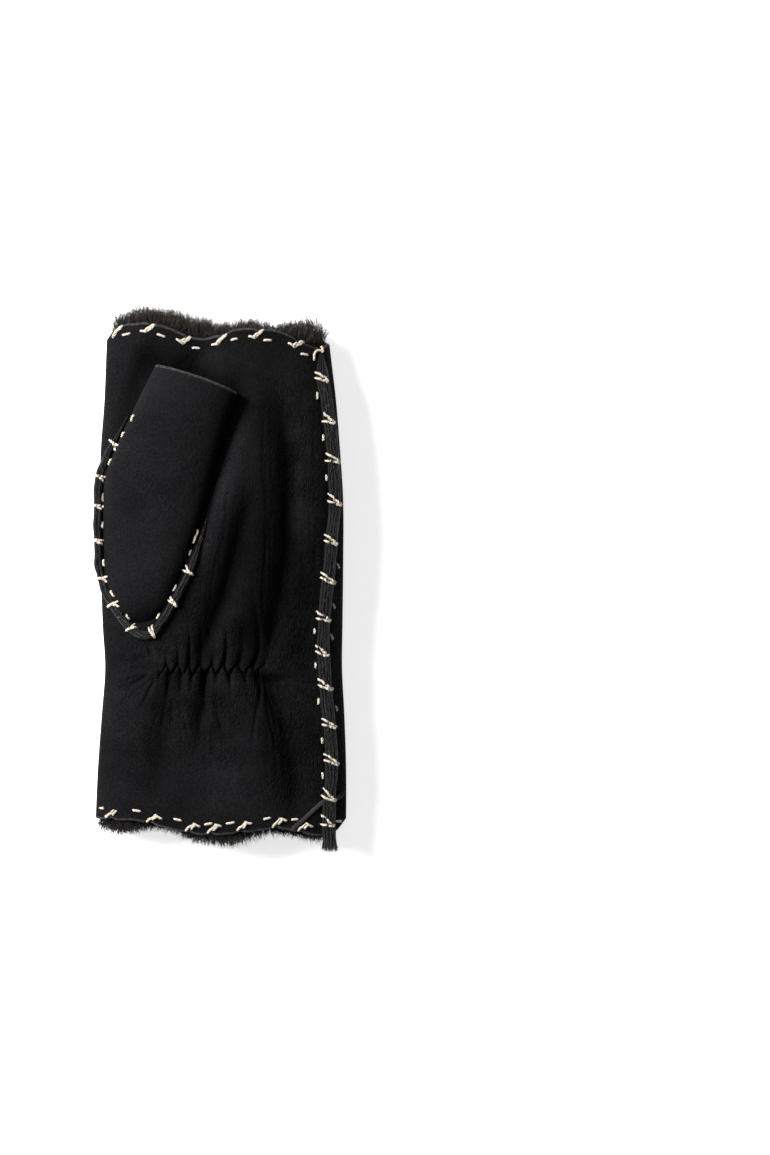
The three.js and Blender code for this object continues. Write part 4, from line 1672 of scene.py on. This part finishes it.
@dataclass
class SeamRidge:
    """A raised out-seam: cut edges of skin and wool side by side along a path."""

    name: str
    node: str
    sleeve: Sleeve
    path: tuple[Place, ...]
    width: float
    height: float
    ribs: int
    seed: int
    fibres: float
    thin_start: float
    thin_end: float = 0.0
    root: float = 2.2

    def centre(self) -> tuple[Array, Array, Array]:
        """Even points along the path, their sideways directions and their distance along it."""
        spots, runs = walk(self.path)
        ways = headings(spots)
        return spots, np.stack([ways[:, 1], -ways[:, 0]], axis=1), runs

    def girth(self, runs: Array) -> Array:
        """The share of the full width and height that the ridge has.

        Args:
            runs: Distances along it.

        Returns:
            The share at each distance.
        """
        girth = 0.2 + 0.8 * smoothstep(runs, 0, self.thin_start)
        if self.thin_end:
            girth *= 0.15 + 0.85 * smoothstep(runs[-1] - runs, 0, self.thin_end)
        return girth

    def build(self, library: Library) -> Any:
        """The ridge as one closed mesh, and the fibres that fray from its middle.

        Args:
            library: The materials and node trees.

        Returns:
            The ridge.
        """
        spots, sides, runs = self.centre()
        offsets = np.linspace(-1, 1, self.ribs * 8 + 1)
        rib = np.abs(np.cos(offsets * self.ribs * np.pi / 2 + (self.ribs % 2) * np.pi / 2 + np.pi / 2))
        crest = (1 - 0.34 * np.abs(offsets) ** 5) * (0.72 + 0.28 * np.sqrt(rib))
        middle = np.concatenate([[0], 1 - smoothstep(np.abs(offsets), 0.45, 0.75), [0]])
        rings, grain, tops = [], [], []
        for spot, side, run, girth in zip(spots, sides, runs, self.girth(runs)):
            foot = self.sleeve.palm_height(*spot)
            wobble = 0.4 * ripple(offsets * 2.2, run, 8, self.seed)
            wobble = wobble + 0.24 * ripple(offsets * 6, run, 2.6, self.seed + 1)
            sway = 0.3 * ripple(offsets * 2.2, run, 9, self.seed + 2)
            edge = self.width / 2 * girth
            off = np.concatenate([[-edge], (offsets * self.width / 2 + sway) * girth, [edge]])
            up = np.concatenate([[-self.root], (self.height * crest + wobble) * girth, [-self.root]])
            rings.append(self.sleeve.place(spot[0] + side[0] * off, spot[1] + side[1] * off, foot + up))
            grain.append(np.stack([np.full(len(off), run), off, up], axis=1) * MM)
            tops.append(middle * girth)
        piece = ring_mesh(self.name, rings, False)
        set_values(piece.data, "grain", np.concatenate(grain))
        piece.data.materials.append(library.raw_seam)
        fibres = twin(piece, f"{self.name}_fibres")
        hand_in(piece, "raw_edge", self.node)
        self.fray(fibres, np.concatenate(tops), library)
        return piece

    def fray(self, piece: Any, bare: Array, library: Library) -> None:
        """Short fibres lying along the ridge, and a ragged tuft at its far end.

        Args:
            piece: The copy of the ridge that they grow from.
            bare: How much wool shows at each of its points.
            library: The materials and node trees.
        """
        _, sides, runs = self.centre()
        count = len(bare) // len(runs)
        ways = np.stack([-sides[:, 1], sides[:, 0], np.full(len(sides), 0.16)], axis=1)
        left = np.repeat(runs[-1] - runs, count)
        end = (0.0 if self.thin_end else 1.0) * (1 - smoothstep(left, 0.2, 2.2))
        across = np.tile(np.linspace(-1, 1, count), len(runs))
        splay = 0.12 * np.repeat(np.column_stack([sides, 0 * runs]), count, axis=0)
        values = {
            "pile": np.clip(bare + end * 6, 0, 6),
            "comb": np.repeat(ways, count, axis=0) + splay * (across * end)[:, None],
            "reach": (2.3 + 1.3 * end) * MM,
        }
        look = {"Thickness": 0.00009, "Scatter": 0.2, "Clump": 0.0012, "Crimp": 0.0007}
        grow(piece, library, library.seam_wool, values, Density=self.fibres, Seed=self.seed, **look)


@dataclass(frozen=True)
class Opening:
    """How the wool stands at one opening, in millimetres but for its density."""

    hem: Hem
    finish: str
    length: float
    past: float
    least: float
    thickness: float
    seed: int
    palm_density: float
    back_density: float


class WoolEnd(Enum):
    """The openings that wool stands out of."""

    FINGER = Opening(FINGERS, "pile_wool", 4.6, 1.5, 3.0, 0.085, 5, 8.0e6, 5.6e6)
    WRIST = Opening(WRIST, "dark_pile", 3.2, 1.0, 2.8, 0.11, 6, 6.5e6, 3.4e6)


@dataclass
class HandWool:
    """The wool inside the hand: a lumpy mat with strands round both openings."""

    sleeve: Sleeve
    thumb: ThumbForm
    around: int = 200
    rows: int = 46

    def lip(self, end: WoolEnd, across: Array, palm: Array) -> Array:
        """How far past a hem the mat runs, so that its strands end where the wool does.

        Args:
            end: Which opening.
            across: Places across the sleeve.
            palm: Whether each place is on the palm.

        Returns:
            The extra length in millimetres.
        """
        hem = end.value.hem
        room = hem.sign * (hem.tips(across) - hem.edges(across, palm))
        return np.clip(room - end.value.length, -2.5, 3.2)

    def wall(self, turns: Array, shares: Array, inset: float) -> list[Array]:
        """One side of the mat, with its lumps.

        Args:
            turns: Turns of the grid.
            shares: Shares of its length, one for each ring.
            inset: How far it is taken in.

        Returns:
            Its rings of points.
        """
        c, s = np.cos(turns * 2 * np.pi), np.sin(turns * 2 * np.pi)
        across = self.sleeve.spread(c, s >= 0)
        lumps = 0.6 * np.sin(turns * 2 * np.pi * 25 + inset)
        low, high = (self.lip(end, across, s >= 0) + lumps for end in (WoolEnd.WRIST, WoolEnd.FINGER))
        rings = []
        for share in shares:
            ring = self.sleeve.point(turns, share, inset, True)
            ring[:, 1] += (high * max(1 - (1 - share) * 12, 0) - low * max(1 - share * 12, 0)) * MM
            if inset > LEATHER + WOOL_GAP:
                ring[:, 2] += 0.35 * np.sin(turns * 2 * np.pi * 40 + share * 70) * np.cos(share * 150) * MM
            rings.append(ring)
        return rings

    def build(self, library: Library) -> None:
        """The mat and the strands of both ends.

        Args:
            library: The materials and node trees.
        """
        turns = even(self.around)
        shares = weighted(self.rows, 0, 1, lambda s: 1 + 6 * np.exp(-np.minimum(s, 1 - s) * 20))
        outside = self.wall(turns, shares, LEATHER + WOOL_GAP)
        inside = self.wall(turns, shares[::-1], LEATHER + WOOL_GAP + WOOL)
        mat = ring_mesh("hand_wool_mat", [*outside, *inside], True)
        cut_mat(mat, thumb_solid(self.thumb), library)
        for end in WoolEnd:
            for palm in (True, False):
                self.pile(mat, end, palm, library)
        hand_in(mat, "wool", "hand_wool")

    def pile(self, mat: Any, end: WoolEnd, palm: bool, library: Library) -> None:
        """The strands round one half of an opening.

        Args:
            mat: The mat that they grow from.
            end: Which opening.
            palm: Whether it is the palm's half.
            library: The materials and node trees.
        """
        opening = end.value
        hem = opening.hem
        piece = twin(mat, f"{end.name.lower()}_wool_pile_{'palm' if palm else 'back'}")
        spots, normals = read_points(piece)
        x, y, z = spots.T
        middle, half, fold, *_ = self.sleeve.section(y, 0)
        across = np.clip((x - middle) / half, -1, 1)
        above = z > fold
        stop = hem.edges(across, above) + hem.sign * self.lip(end, across, above)
        depth = hem.sign * (stop - y)
        inward = np.stack([(middle - x) * 0.12, np.zeros(len(spots)), fold - z], axis=1)
        inward /= np.maximum(np.linalg.norm(inward, axis=1, keepdims=True), 1e-6)
        faces_in = np.einsum("ij,ij->i", normals, inward) > 0.15
        rim = 1 - smoothstep(depth, 0.6, 3.2)
        near = 1 - smoothstep(depth, 0, 26)
        pile = np.maximum(rim, np.where(faces_in, 0.3 * near**2, 0))
        outward = 1 - smoothstep(depth, -1, 14)
        out = np.array([0, hem.sign, 0.0])
        comb = normals * (0.3 + 0.7 * (1 - outward))[:, None] + out * (1.1 * outward)[:, None]
        comb[:, 0] *= 1 - 0.8 * outward
        comb[:, 2] += 0.6 * ~above
        reach = np.clip(hem.sign * (hem.tips(across) - y) + opening.past, opening.least, 9.5)
        grow(
            piece,
            library,
            getattr(library, opening.finish),
            {
                "pile": pile * (above if palm else ~above),
                "comb": comb,
                "reach": (reach * rim + 3.6 * (1 - rim)) * MM,
            },
            Density=opening.palm_density if palm else opening.back_density,
            Thickness=opening.thickness * MM,
            Scatter=0.5,
            Clump=0.005,
            Crimp=0.002,
            Seed=opening.seed + (0 if palm else 20),
        )


@dataclass
class ThumbWool:
    """The shorter wool inside the thumb, with strands at its open tip."""

    thumb: ThumbForm
    around: int = 90
    rows: int = 36
    draw_in: float = 1.4
    reach: float = 1.9

    def build(self, library: Library) -> None:
        """The mat and its strands.

        Args:
            library: The materials and node trees.
        """
        shares = np.linspace(0, 1, self.rows)
        rings = [
            self.thumb.point(even(self.around), share, inset, -self.draw_in)
            for inset, order in ((LEATHER + WOOL_GAP, 1), (LEATHER + WOOL_GAP + THUMB_WOOL, -1))
            for share in shares[::order]
        ]
        mat = ring_mesh("thumb_wool_mat", rings, True)
        cut_mat(mat, sleeve_solid(self.thumb.sleeve, -0.3), library)
        piece = twin(mat, "thumb_wool_pile")
        spots, normals = read_points(piece)
        way = self.thumb.tip_way()
        mouth = self.thumb.point(np.array([0.0, 0.5]), 1.0).mean(axis=0) / MM
        depth = -(spots - mouth) @ way
        near = 1 - smoothstep(depth, 0, 16)
        centre = mouth - way * depth[:, None]
        faces_in = np.einsum("ij,ij->i", normals, (centre - spots) * np.array([0.1, 0.1, 1])) > 0
        values = {
            "pile": np.where(normals @ way > 0.5, 1.0, np.where(faces_in, 0.6 * near**2, 0)),
            "comb": normals * 0.5 + way * 0.7 * near[:, None],
            "reach": np.full(len(spots), self.reach * MM),
        }
        hand_in(mat, "wool", "thumb_wool")
        look = {"Thickness": 0.000085, "Scatter": 0.4, "Clump": 0.0014, "Crimp": 0.0008}
        grow(piece, library, library.pile_wool, values, Density=2.6e6, Seed=8, **look)


class Surface:
    """The outside of the finished skins and seams, for what is sewn on it."""

    edge_height = 22.0
    drop = 4.5

    def __init__(self, pieces: Sequence[Any]) -> None:
        """Collects the pieces' faces.

        Args:
            pieces: The finished objects.
        """
        points: list[Any] = []
        faces: list[Any] = []
        for piece in pieces:
            start = len(points)
            points.extend(v.co.copy() for v in piece.data.vertices)
            faces.extend([start + i for i in p.vertices] for p in piece.data.polygons)
        self.tree = BVHTree.FromPolygons(points, faces)

    def spot(self, x: float, y: float, lift: float, below: bool = False) -> Vector:
        """A point over the surface, which beside a steep fold is the nearest one.

        Args:
            x: Place across, in millimetres.
            y: Place along, in millimetres.
            lift: Height over the surface, in millimetres.
            below: Whether the underside is meant.

        Returns:
            The point in metres.
        """
        start, way = (-0.02, 1) if below else (0.2, -1)
        found, normal, _, _ = self.tree.ray_cast(Vector((x * MM, y * MM, start)), Vector((0, 0, way)))
        level = self.edge_height * MM
        beside, side, _, gap = self.tree.find_nearest(Vector((x * MM, y * MM, level)))
        if not below and (found is None or level - found.z > self.drop * MM > gap):
            return beside + side * lift * MM
        if normal.z * way > 0:
            normal = -normal
        return found + normal * lift * MM


def spline(points: Sequence[Vector], pieces: int) -> list[Vector]:
    """A smooth path through points.

    Args:
        points: The points.
        pieces: How many steps each span between two of them gets.

    Returns:
        The path's points.
    """
    path = []
    for i in range(len(points) - 1):
        before, start = points[max(i - 1, 0)], points[i]
        end, after = points[i + 1], points[min(i + 2, len(points) - 1)]
        for n in range(pieces):
            t = n / pieces
            a = -0.5 * t + t * t - 0.5 * t**3
            b = 1 - 2.5 * t * t + 1.5 * t**3
            c = 0.5 * t + 2 * t * t - 1.5 * t**3
            d = -0.5 * t * t + 0.5 * t**3
            path.append(before * a + start * b + end * c + after * d)
    path.append(points[-1])
    return path


@dataclass
class Stitching:
    """Collects the paths of the thread, in millimetres, and sews them all as one piece."""

    sleeve: Sleeve
    surface: Surface
    ply: float = 0.29
    offset: float = 0.28
    stand: float = 0.4
    step: float = 0.5
    hole: float = 0.6
    seed: int = 17
    reach: float = 43.0
    paths: list[list[Vector]] = field(default_factory=list)

    def __post_init__(self) -> None:
        """Starts the irregularity of the hand."""
        self.chance = np.random.default_rng(self.seed)

    def jitter(self, size: float = 0.2) -> float:
        """A small irregularity of the hand, in millimetres."""
        return float(self.chance.normal(0, size))

    def lay(self, places: Sequence[Place], lift: float = 0.0, below: bool = False) -> None:
        """Lays one strand over the surface, sunk in at both ends.

        Args:
            places: Plan places of its two holes, and of bends between them.
            lift: How much higher than usual it stands.
            below: Whether it lies on the underside.
        """
        flat = spline([Vector((x, y, 0)) for x, y in places], 4 if len(places) > 2 else 8)
        path = []
        for i, spot in enumerate(flat):
            rise = min(1.0, math.sin(math.pi * i / (len(flat) - 1)) * 2.4)
            height = -self.hole + (self.stand + lift + self.hole) * rise
            path.append(self.surface.spot(spot.x, spot.y, height, below))
        self.paths.append(path)

    def over_edge(self, places: Sequence[Place], way: float, lean: float, below: bool) -> None:
        """Lays one strand from a hole to a cut hem, over it and back inside.

        Args:
            places: Plan places from the hole to just before the hem.
            way: 1 towards the fingers and -1 towards the wrist.
            lean: How far it drifts sideways on its way over the edge.
            below: Whether it starts on the underside.
        """
        heights = [-self.hole] + [self.stand] * (len(places) - 1)
        path = [self.surface.spot(x, y, height, below) for (x, y), height in zip(places, heights)]
        down = 1 if below else -1
        rim = path[-1]
        for part, off_y, off_z in ((0.4, 0.75, 0.1), (0.75, 1.0, 0.75), (0.9, 0.75, 1.6), (1.0, -0.9, 2.1)):
            path.append(rim + Vector((lean * part, way * off_y, down * off_z)) * MM)
        self.paths.append(spline(path, 3))

    def dash(self, x: float, hem: Hem, below: bool, length: float = 3.1, inset: float = 3.9) -> None:
        """One running stitch along a hem.

        Args:
            x: Place of its middle across the hand.
            hem: The hem.
            below: Whether it is on the back.
            length: About how long it is.
            inset: About how far from the edge it lies.
        """
        half = (length + self.jitter(0.25)) / 2
        inset = inset + self.jitter(0.15)
        places = []
        for off in (-half, half):
            y = self.sleeve.hem_y(hem, below, x + off)
            places.append((x + off, y - hem.sign * (inset + self.jitter(0.12))))
        self.lay(places, 0.04, below)

    def whip(self, x: float, hem: Hem, below: bool) -> None:
        """One overcast stitch at a hem: a short strand beside its hole, two over the edge.

        Args:
            x: Place of its hole across the hand.
            hem: The hem.
            below: Whether it is on the back.
        """
        side = -hem.sign if below else hem.sign

        def spots(*offs: Place) -> list[Place]:
            """Plan places at offsets along the hem and out over it."""
            places = []
            for u, v in offs:
                at = x + side * (u + self.jitter(0.12))
                places.append((at, self.sleeve.hem_y(hem, below, at) + hem.sign * (v + self.jitter(0.1))))
            return places

        if abs(x) < self.reach:
            self.lay(spots((-2.4, -3.0), (-1.0, -3.3), (0.4, -3.7)), 0.06, below)
        if hem.sign > 0:
            steep = spots((0.0, -3.6), (0.4, -2.7), (1.0, -1.6), (1.9, -0.8))
            self.over_edge(steep, hem.sign, side * 1.5, below)
        over = spots((0.5, -3.5), (1.0, -2.5), (1.8, -1.4), (2.8, -0.7))
        self.over_edge(over, hem.sign, side * 1.1, below)
        self.lay(spots((-0.5, -3.3), (0.2, -2.4), (1.2, -1.0)), 0.3, below)

    def sew(self, library: Library) -> None:
        """Makes the thread of every stitch.

        Args:
            library: The materials and node trees.
        """
        points = [tuple(p) for path in self.paths for p in path]
        edges, start = [], 0
        for path in self.paths:
            edges.extend((start + i, start + i + 1) for i in range(len(path) - 1))
            start += len(path)
        mesh = bpy.data.meshes.new("hand_stitches")
        mesh.from_pydata(points, edges, [])
        piece = link("hand_stitches", mesh)
        sizes = {"Ply Radius": self.ply * MM, "Ply Offset": self.offset * MM, "Step": self.step * MM}
        run_tree(piece, library.thread, {**sizes, "Twist": 1900.0, "Finish": library.cream})
        face_out(piece)
        hand_in(piece, "raw_edge")


def sew_hems(stitching: Stitching) -> None:
    """Sews both hems, on the palm and on the back.

    Args:
        stitching: Where the stitches are collected.
    """
    for hem in (FINGERS, WRIST):
        for below, whips, dashes in ((False, hem.whips, hem.dashes), (True, hem.back_whips, hem.back_dashes)):
            for x in whips:
                stitching.whip(x, hem, below)
            for x in dashes:
                stitching.dash(x, hem, below)


# Down the side seam from the fingers: y of each stitch over the ridge, and of the dashes
# beside it on the palm's side and on the back's.
SIDE_WHIPS = (83.6, 65.9, 49.6, 31.9, 15.5, -0.8, -16.8, -31.5, -45.4, -61.3, -76.4, -92, -102.9)
SIDE_DASHES = (76, 58.4, 41.6, -22.7, -37, -52.1, -68.5, -83.2)
SIDE_DASHES_RIGHT = (96, 4.6, -12.2, -25.2, -55)


def sew_side(stitching: Stitching, ridge: SeamRidge) -> None:
    """Sews the side seam: strands that meet over the ridge at each stitch, and dashes.

    Args:
        stitching: Where the stitches are collected.
        ridge: The seam.
    """
    spots = ridge.centre()[0][::-1]
    jitter, lay = stitching.jitter, stitching.lay

    def centre(y: float) -> float:
        """The x of the seam's middle at y."""
        return float(np.interp(y, spots[:, 1], spots[:, 0]))

    for y in SIDE_WHIPS:
        x = centre(y)
        right = (x + 2.9 + jitter(), y - 1.7 + jitter(0.3))
        lay([(x - 3.0 + jitter(), y + 2.7 + jitter(0.5)), (x + 0.3, y + 0.4), right], 0.16)
        lower = (right[0] - 0.2, right[1] - 0.35)
        lay([(x - 3.2 + jitter(), y - 0.1 + jitter(0.5)), (x + 0.1, y - 1.1), lower], 0.08)
    for y in SIDE_DASHES:
        x = centre(y) - ridge.width / 2 - 0.9
        half = 1.1 + jitter(0.15)
        lay([(x + jitter(0.1), y + half), (x + jitter(0.1), y - half)])
    lay([(49.3, -102.6), (52.0, -102.2)])
    for y in SIDE_DASHES_RIGHT:
        x = centre(y) + ridge.width / 2 + 0.7
        lay([(x - 0.2, y + 1.0), (x + 0.5, y - 0.9)])
    x = centre(94)
    lay([(x - 2.8, 90.6), (x - 2.9, 93.2), (x - 1.6, 94.9), (x + 0.8, 94.6)], 0.1)


# Round the thumb's seam from its finger side: the places of the stitches over the ridge and
# of the dashes on the thumb.
THUMB_WHIPS = (
    (-44.1, 55.4), (-49.6, 42), (-51.2, 29.4), (-50.8, 14.7), (-49.1, -0.8), (-44.9, -12.2),
    (-36.5, -21.8), (-27.3, -23.5), (-18.5, -10.9), (-13, 2.5),
)
THUMB_DASHES = (
    (-38.2, 67.2), (-41.2, 60.1), (-46.6, 48.3), (-49.1, 33.2), (-49.6, 21.4), (-49.1, 5.9),
    (-46.2, -8), (-38.6, -17.2), (-21, -19.3), (-14.7, -6.3), (-9.7, 9.2), (-9.2, 15.5), (-8.4, 18.1),
)


def sew_thumb(stitching: Stitching, ridge: SeamRidge) -> None:
    """Sews the thumb's seam: dashes on the thumb and strands over the ridge, in turn.

    Args:
        stitching: Where the stitches are collected.
        ridge: The seam.
    """
    centres, sides, _ = ridge.centre()
    jitter, reach = stitching.jitter, ridge.width / 2

    def spots(place: Place, *offs: Place) -> list[Place]:
        """Plan places beside the seam's point nearest to a place.

        Args:
            place: The place.
            offs: How far each lies towards the thumb, and how far along the seam.

        Returns:
            The plan places.
        """
        i = int(np.argmin(np.linalg.norm(centres - np.array(place), axis=1)))
        inward = -sides[i]
        way = np.array([-inward[1], inward[0]])
        at = [centres[i] + inward * (u + jitter(0.12)) + way * (v + jitter(0.2)) for u, v in offs]
        return [(float(x), float(y)) for x, y in at]

    for place in THUMB_DASHES:
        stitching.lay(spots(place, (reach + 0.8, 1.3), (reach + 0.8, -1.3)))
    for place in THUMB_WHIPS:
        upper = spots(place, (-reach - 0.5, 1.0), (0.0, 0.1), (reach + 0.6, -1.8))
        stitching.lay(upper, 0.16)
        beside = (upper[0][0] + jitter(0.1), upper[0][1] + jitter(0.1))
        stitching.lay([beside, *spots(place, (0.1, 0.6), (reach + 1.1, 0.3))], 0.06)


@dataclass
class Lace:
    """The thin dark lace from the side seam to the wrist hem."""

    surface: Surface
    path: tuple[Place, ...] = (
        (51.3, -90.6), (49.4, -92.4), (46.6, -92.6), (43.6, -94.0), (39.4, -97.6), (35.0, -101.7),
        (30.6, -105.4),
    )
    width: float = 1.8
    thickness: float = 1.1
    lift: float = 0.35
    rings: int = 60
    around: int = 10

    def build(self, library: Library) -> None:
        """The lace as one closed strip that lies on the skin and the seam.

        Args:
            library: The materials.
        """
        plan, runs = walk(self.path, count=self.rings)
        line = np.array([tuple(self.surface.spot(float(x), float(y), self.lift)) for x, y in plan])
        line[:, 2] = np.convolve(np.pad(line[:, 2], 3, mode="edge"), np.ones(7) / 7, mode="valid")
        angles = even(self.around) * 2 * np.pi
        across = power(np.cos(angles), 0.6) * self.width / 2
        high = power(np.sin(angles), 0.6) * self.thickness / 2
        rings, grain = [], []
        for spot, way, run in zip(line, headings(line), runs):
            side = np.array([way[1], -way[0], 0])
            side /= np.linalg.norm(side)
            up = np.cross(side, way)
            up = up if up[2] > 0 else -up
            rings.append(spot + (side[None, :] * across[:, None] + up[None, :] * high[:, None]) * MM)
            grain.append(np.stack([np.full(self.around, run), across, high], axis=1) * MM)
        piece = ring_mesh("wrist_lace", rings, False)
        set_values(piece.data, "grain", np.concatenate(grain))
        piece.data.materials.append(library.lace)
        hand_in(piece, "raw_edge")


@dataclass(frozen=True)
class Lamp:
    """A soft light: where it hangs, its size in metres, its power and its colour."""

    name: str
    place: tuple[float, float, float]
    size: float
    power: float
    colour: Colour

    def hang(self) -> None:
        """Hangs the lamp and turns it to the mitten."""
        data = bpy.data.lights.new(self.name, "AREA")
        data.shape = "DISK"
        data.size = self.size
        data.energy = self.power
        data.color = self.colour
        light = link(self.name, data)
        light.location = self.place
        light.rotation_euler = (-Vector(self.place)).to_track_quat("-Z", "Y").to_euler()


LAMPS = (
    Lamp("key", (-0.95, 0.45, 0.98), 0.8, 58.0, (1.0, 0.985, 0.965)),
    Lamp("top", (0.1, 0.3, 1.6), 0.9, 2.0, (0.98, 0.99, 1.0)),
    Lamp("rim", (0.95, -0.5, 0.9), 0.7, 0.6, (0.96, 0.98, 1.0)),
)


@dataclass(frozen=True)
class Studio:
    """A pale floor, soft lights and a camera straight over the picture's middle."""

    middle: Place = (0.0693, -0.0002)
    frame_height: float = 0.485
    lens: float = 300.0
    level: float = 0.014
    gap: float = 0.0003
    floor_size: float = 4.0

    def build(self) -> None:
        """Makes the floor, the lights, the world and the camera."""
        scene = bpy.context.scene
        scene.view_settings.view_transform = "Standard"
        self.lay_floor()
        world = bpy.data.worlds.new("studio")
        world.use_nodes = True
        sky = world.node_tree.nodes["Background"].inputs
        sky["Color"].default_value = (0.98, 0.99, 1.0, 1)
        sky["Strength"].default_value = 0.1
        scene.world = world
        for lamp in LAMPS:
            lamp.hang()
        data = bpy.data.cameras.new("camera")
        data.lens = self.lens
        data.clip_end = 20
        camera = link("camera", data)
        camera.location = (*self.middle, self.level + self.frame_height * self.lens / data.sensor_width)
        scene.camera = camera

    def lay_floor(self) -> None:
        """Makes the floor just under the mitten, in a pale finish that glows a little."""
        shape = bmesh.new()
        sheet = Matrix.Translation((0, 0, -self.gap))
        bmesh.ops.create_grid(shape, x_segments=1, y_segments=1, size=self.floor_size, matrix=sheet)
        mesh = bpy.data.meshes.new("floor")
        shape.to_mesh(mesh)
        shape.free()
        pale = bpy.data.materials.new("pale_floor")
        pale.use_nodes = True
        sockets = pale.node_tree.nodes["Principled BSDF"].inputs
        sockets["Base Color"].default_value = (0.86, 0.86, 0.86, 1)
        sockets["Roughness"].default_value = 0.9
        sockets["Emission Color"].default_value = (1, 1, 1, 1)
        sockets["Emission Strength"].default_value = 0.7
        mesh.materials.append(pale)
        floor = link("floor", mesh)


def centred_sleeve() -> Sleeve:
    """The sleeve's form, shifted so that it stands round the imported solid.

    Returns:
        The form.
    """
    low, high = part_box("hand_shell")
    form = Sleeve()
    plain = np.concatenate([form.point(even(400), share) for share in np.linspace(0, 1, 60)])
    centre = (plain.min(axis=0) + plain.max(axis=0)) / 2
    shift = (((low[0] + high[0]) / 2 - centre[0]) / MM, ((low[1] + high[1]) / 2 - centre[1]) / MM)
    log.info("shift %.3f %.3f mm", *shift)
    return Sleeve(shift=shift)


def main() -> None:
    """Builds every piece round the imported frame, then the studio."""
    logging.basicConfig(level=logging.INFO, format="%(message)s")
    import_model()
    sleeve = centred_sleeve()
    thumb = ThumbForm(sleeve)
    library = Library()
    hand_skin = HandSkin(sleeve, thumb).build(library)
    thumb_skin = ThumbSkin(thumb).build(library)
    side = SeamRidge("side_seam_ridge", "side_seam", sleeve, SIDE_SEAM, 5.2, 4.1, 4, 51, 2.2e6, 12)
    side_ridge = side.build(library)
    root = SeamRidge("thumb_seam_ridge", "thumb_seam", sleeve, THUMB_SEAM, 3.4, 3.1, 2, 61, 1.6e6, 26, 46)
    thumb_ridge = root.build(library)
    HandWool(sleeve, thumb).build(library)
    ThumbWool(thumb).build(library)
    stitching = Stitching(sleeve, Surface([hand_skin, thumb_skin, side_ridge, thumb_ridge]))
    sew_hems(stitching)
    sew_side(stitching, side)
    sew_thumb(stitching, root)
    stitching.sew(library)
    Lace(Surface([hand_skin])).build(library)
    Studio().build()


if __name__ == "__main__":
    main()
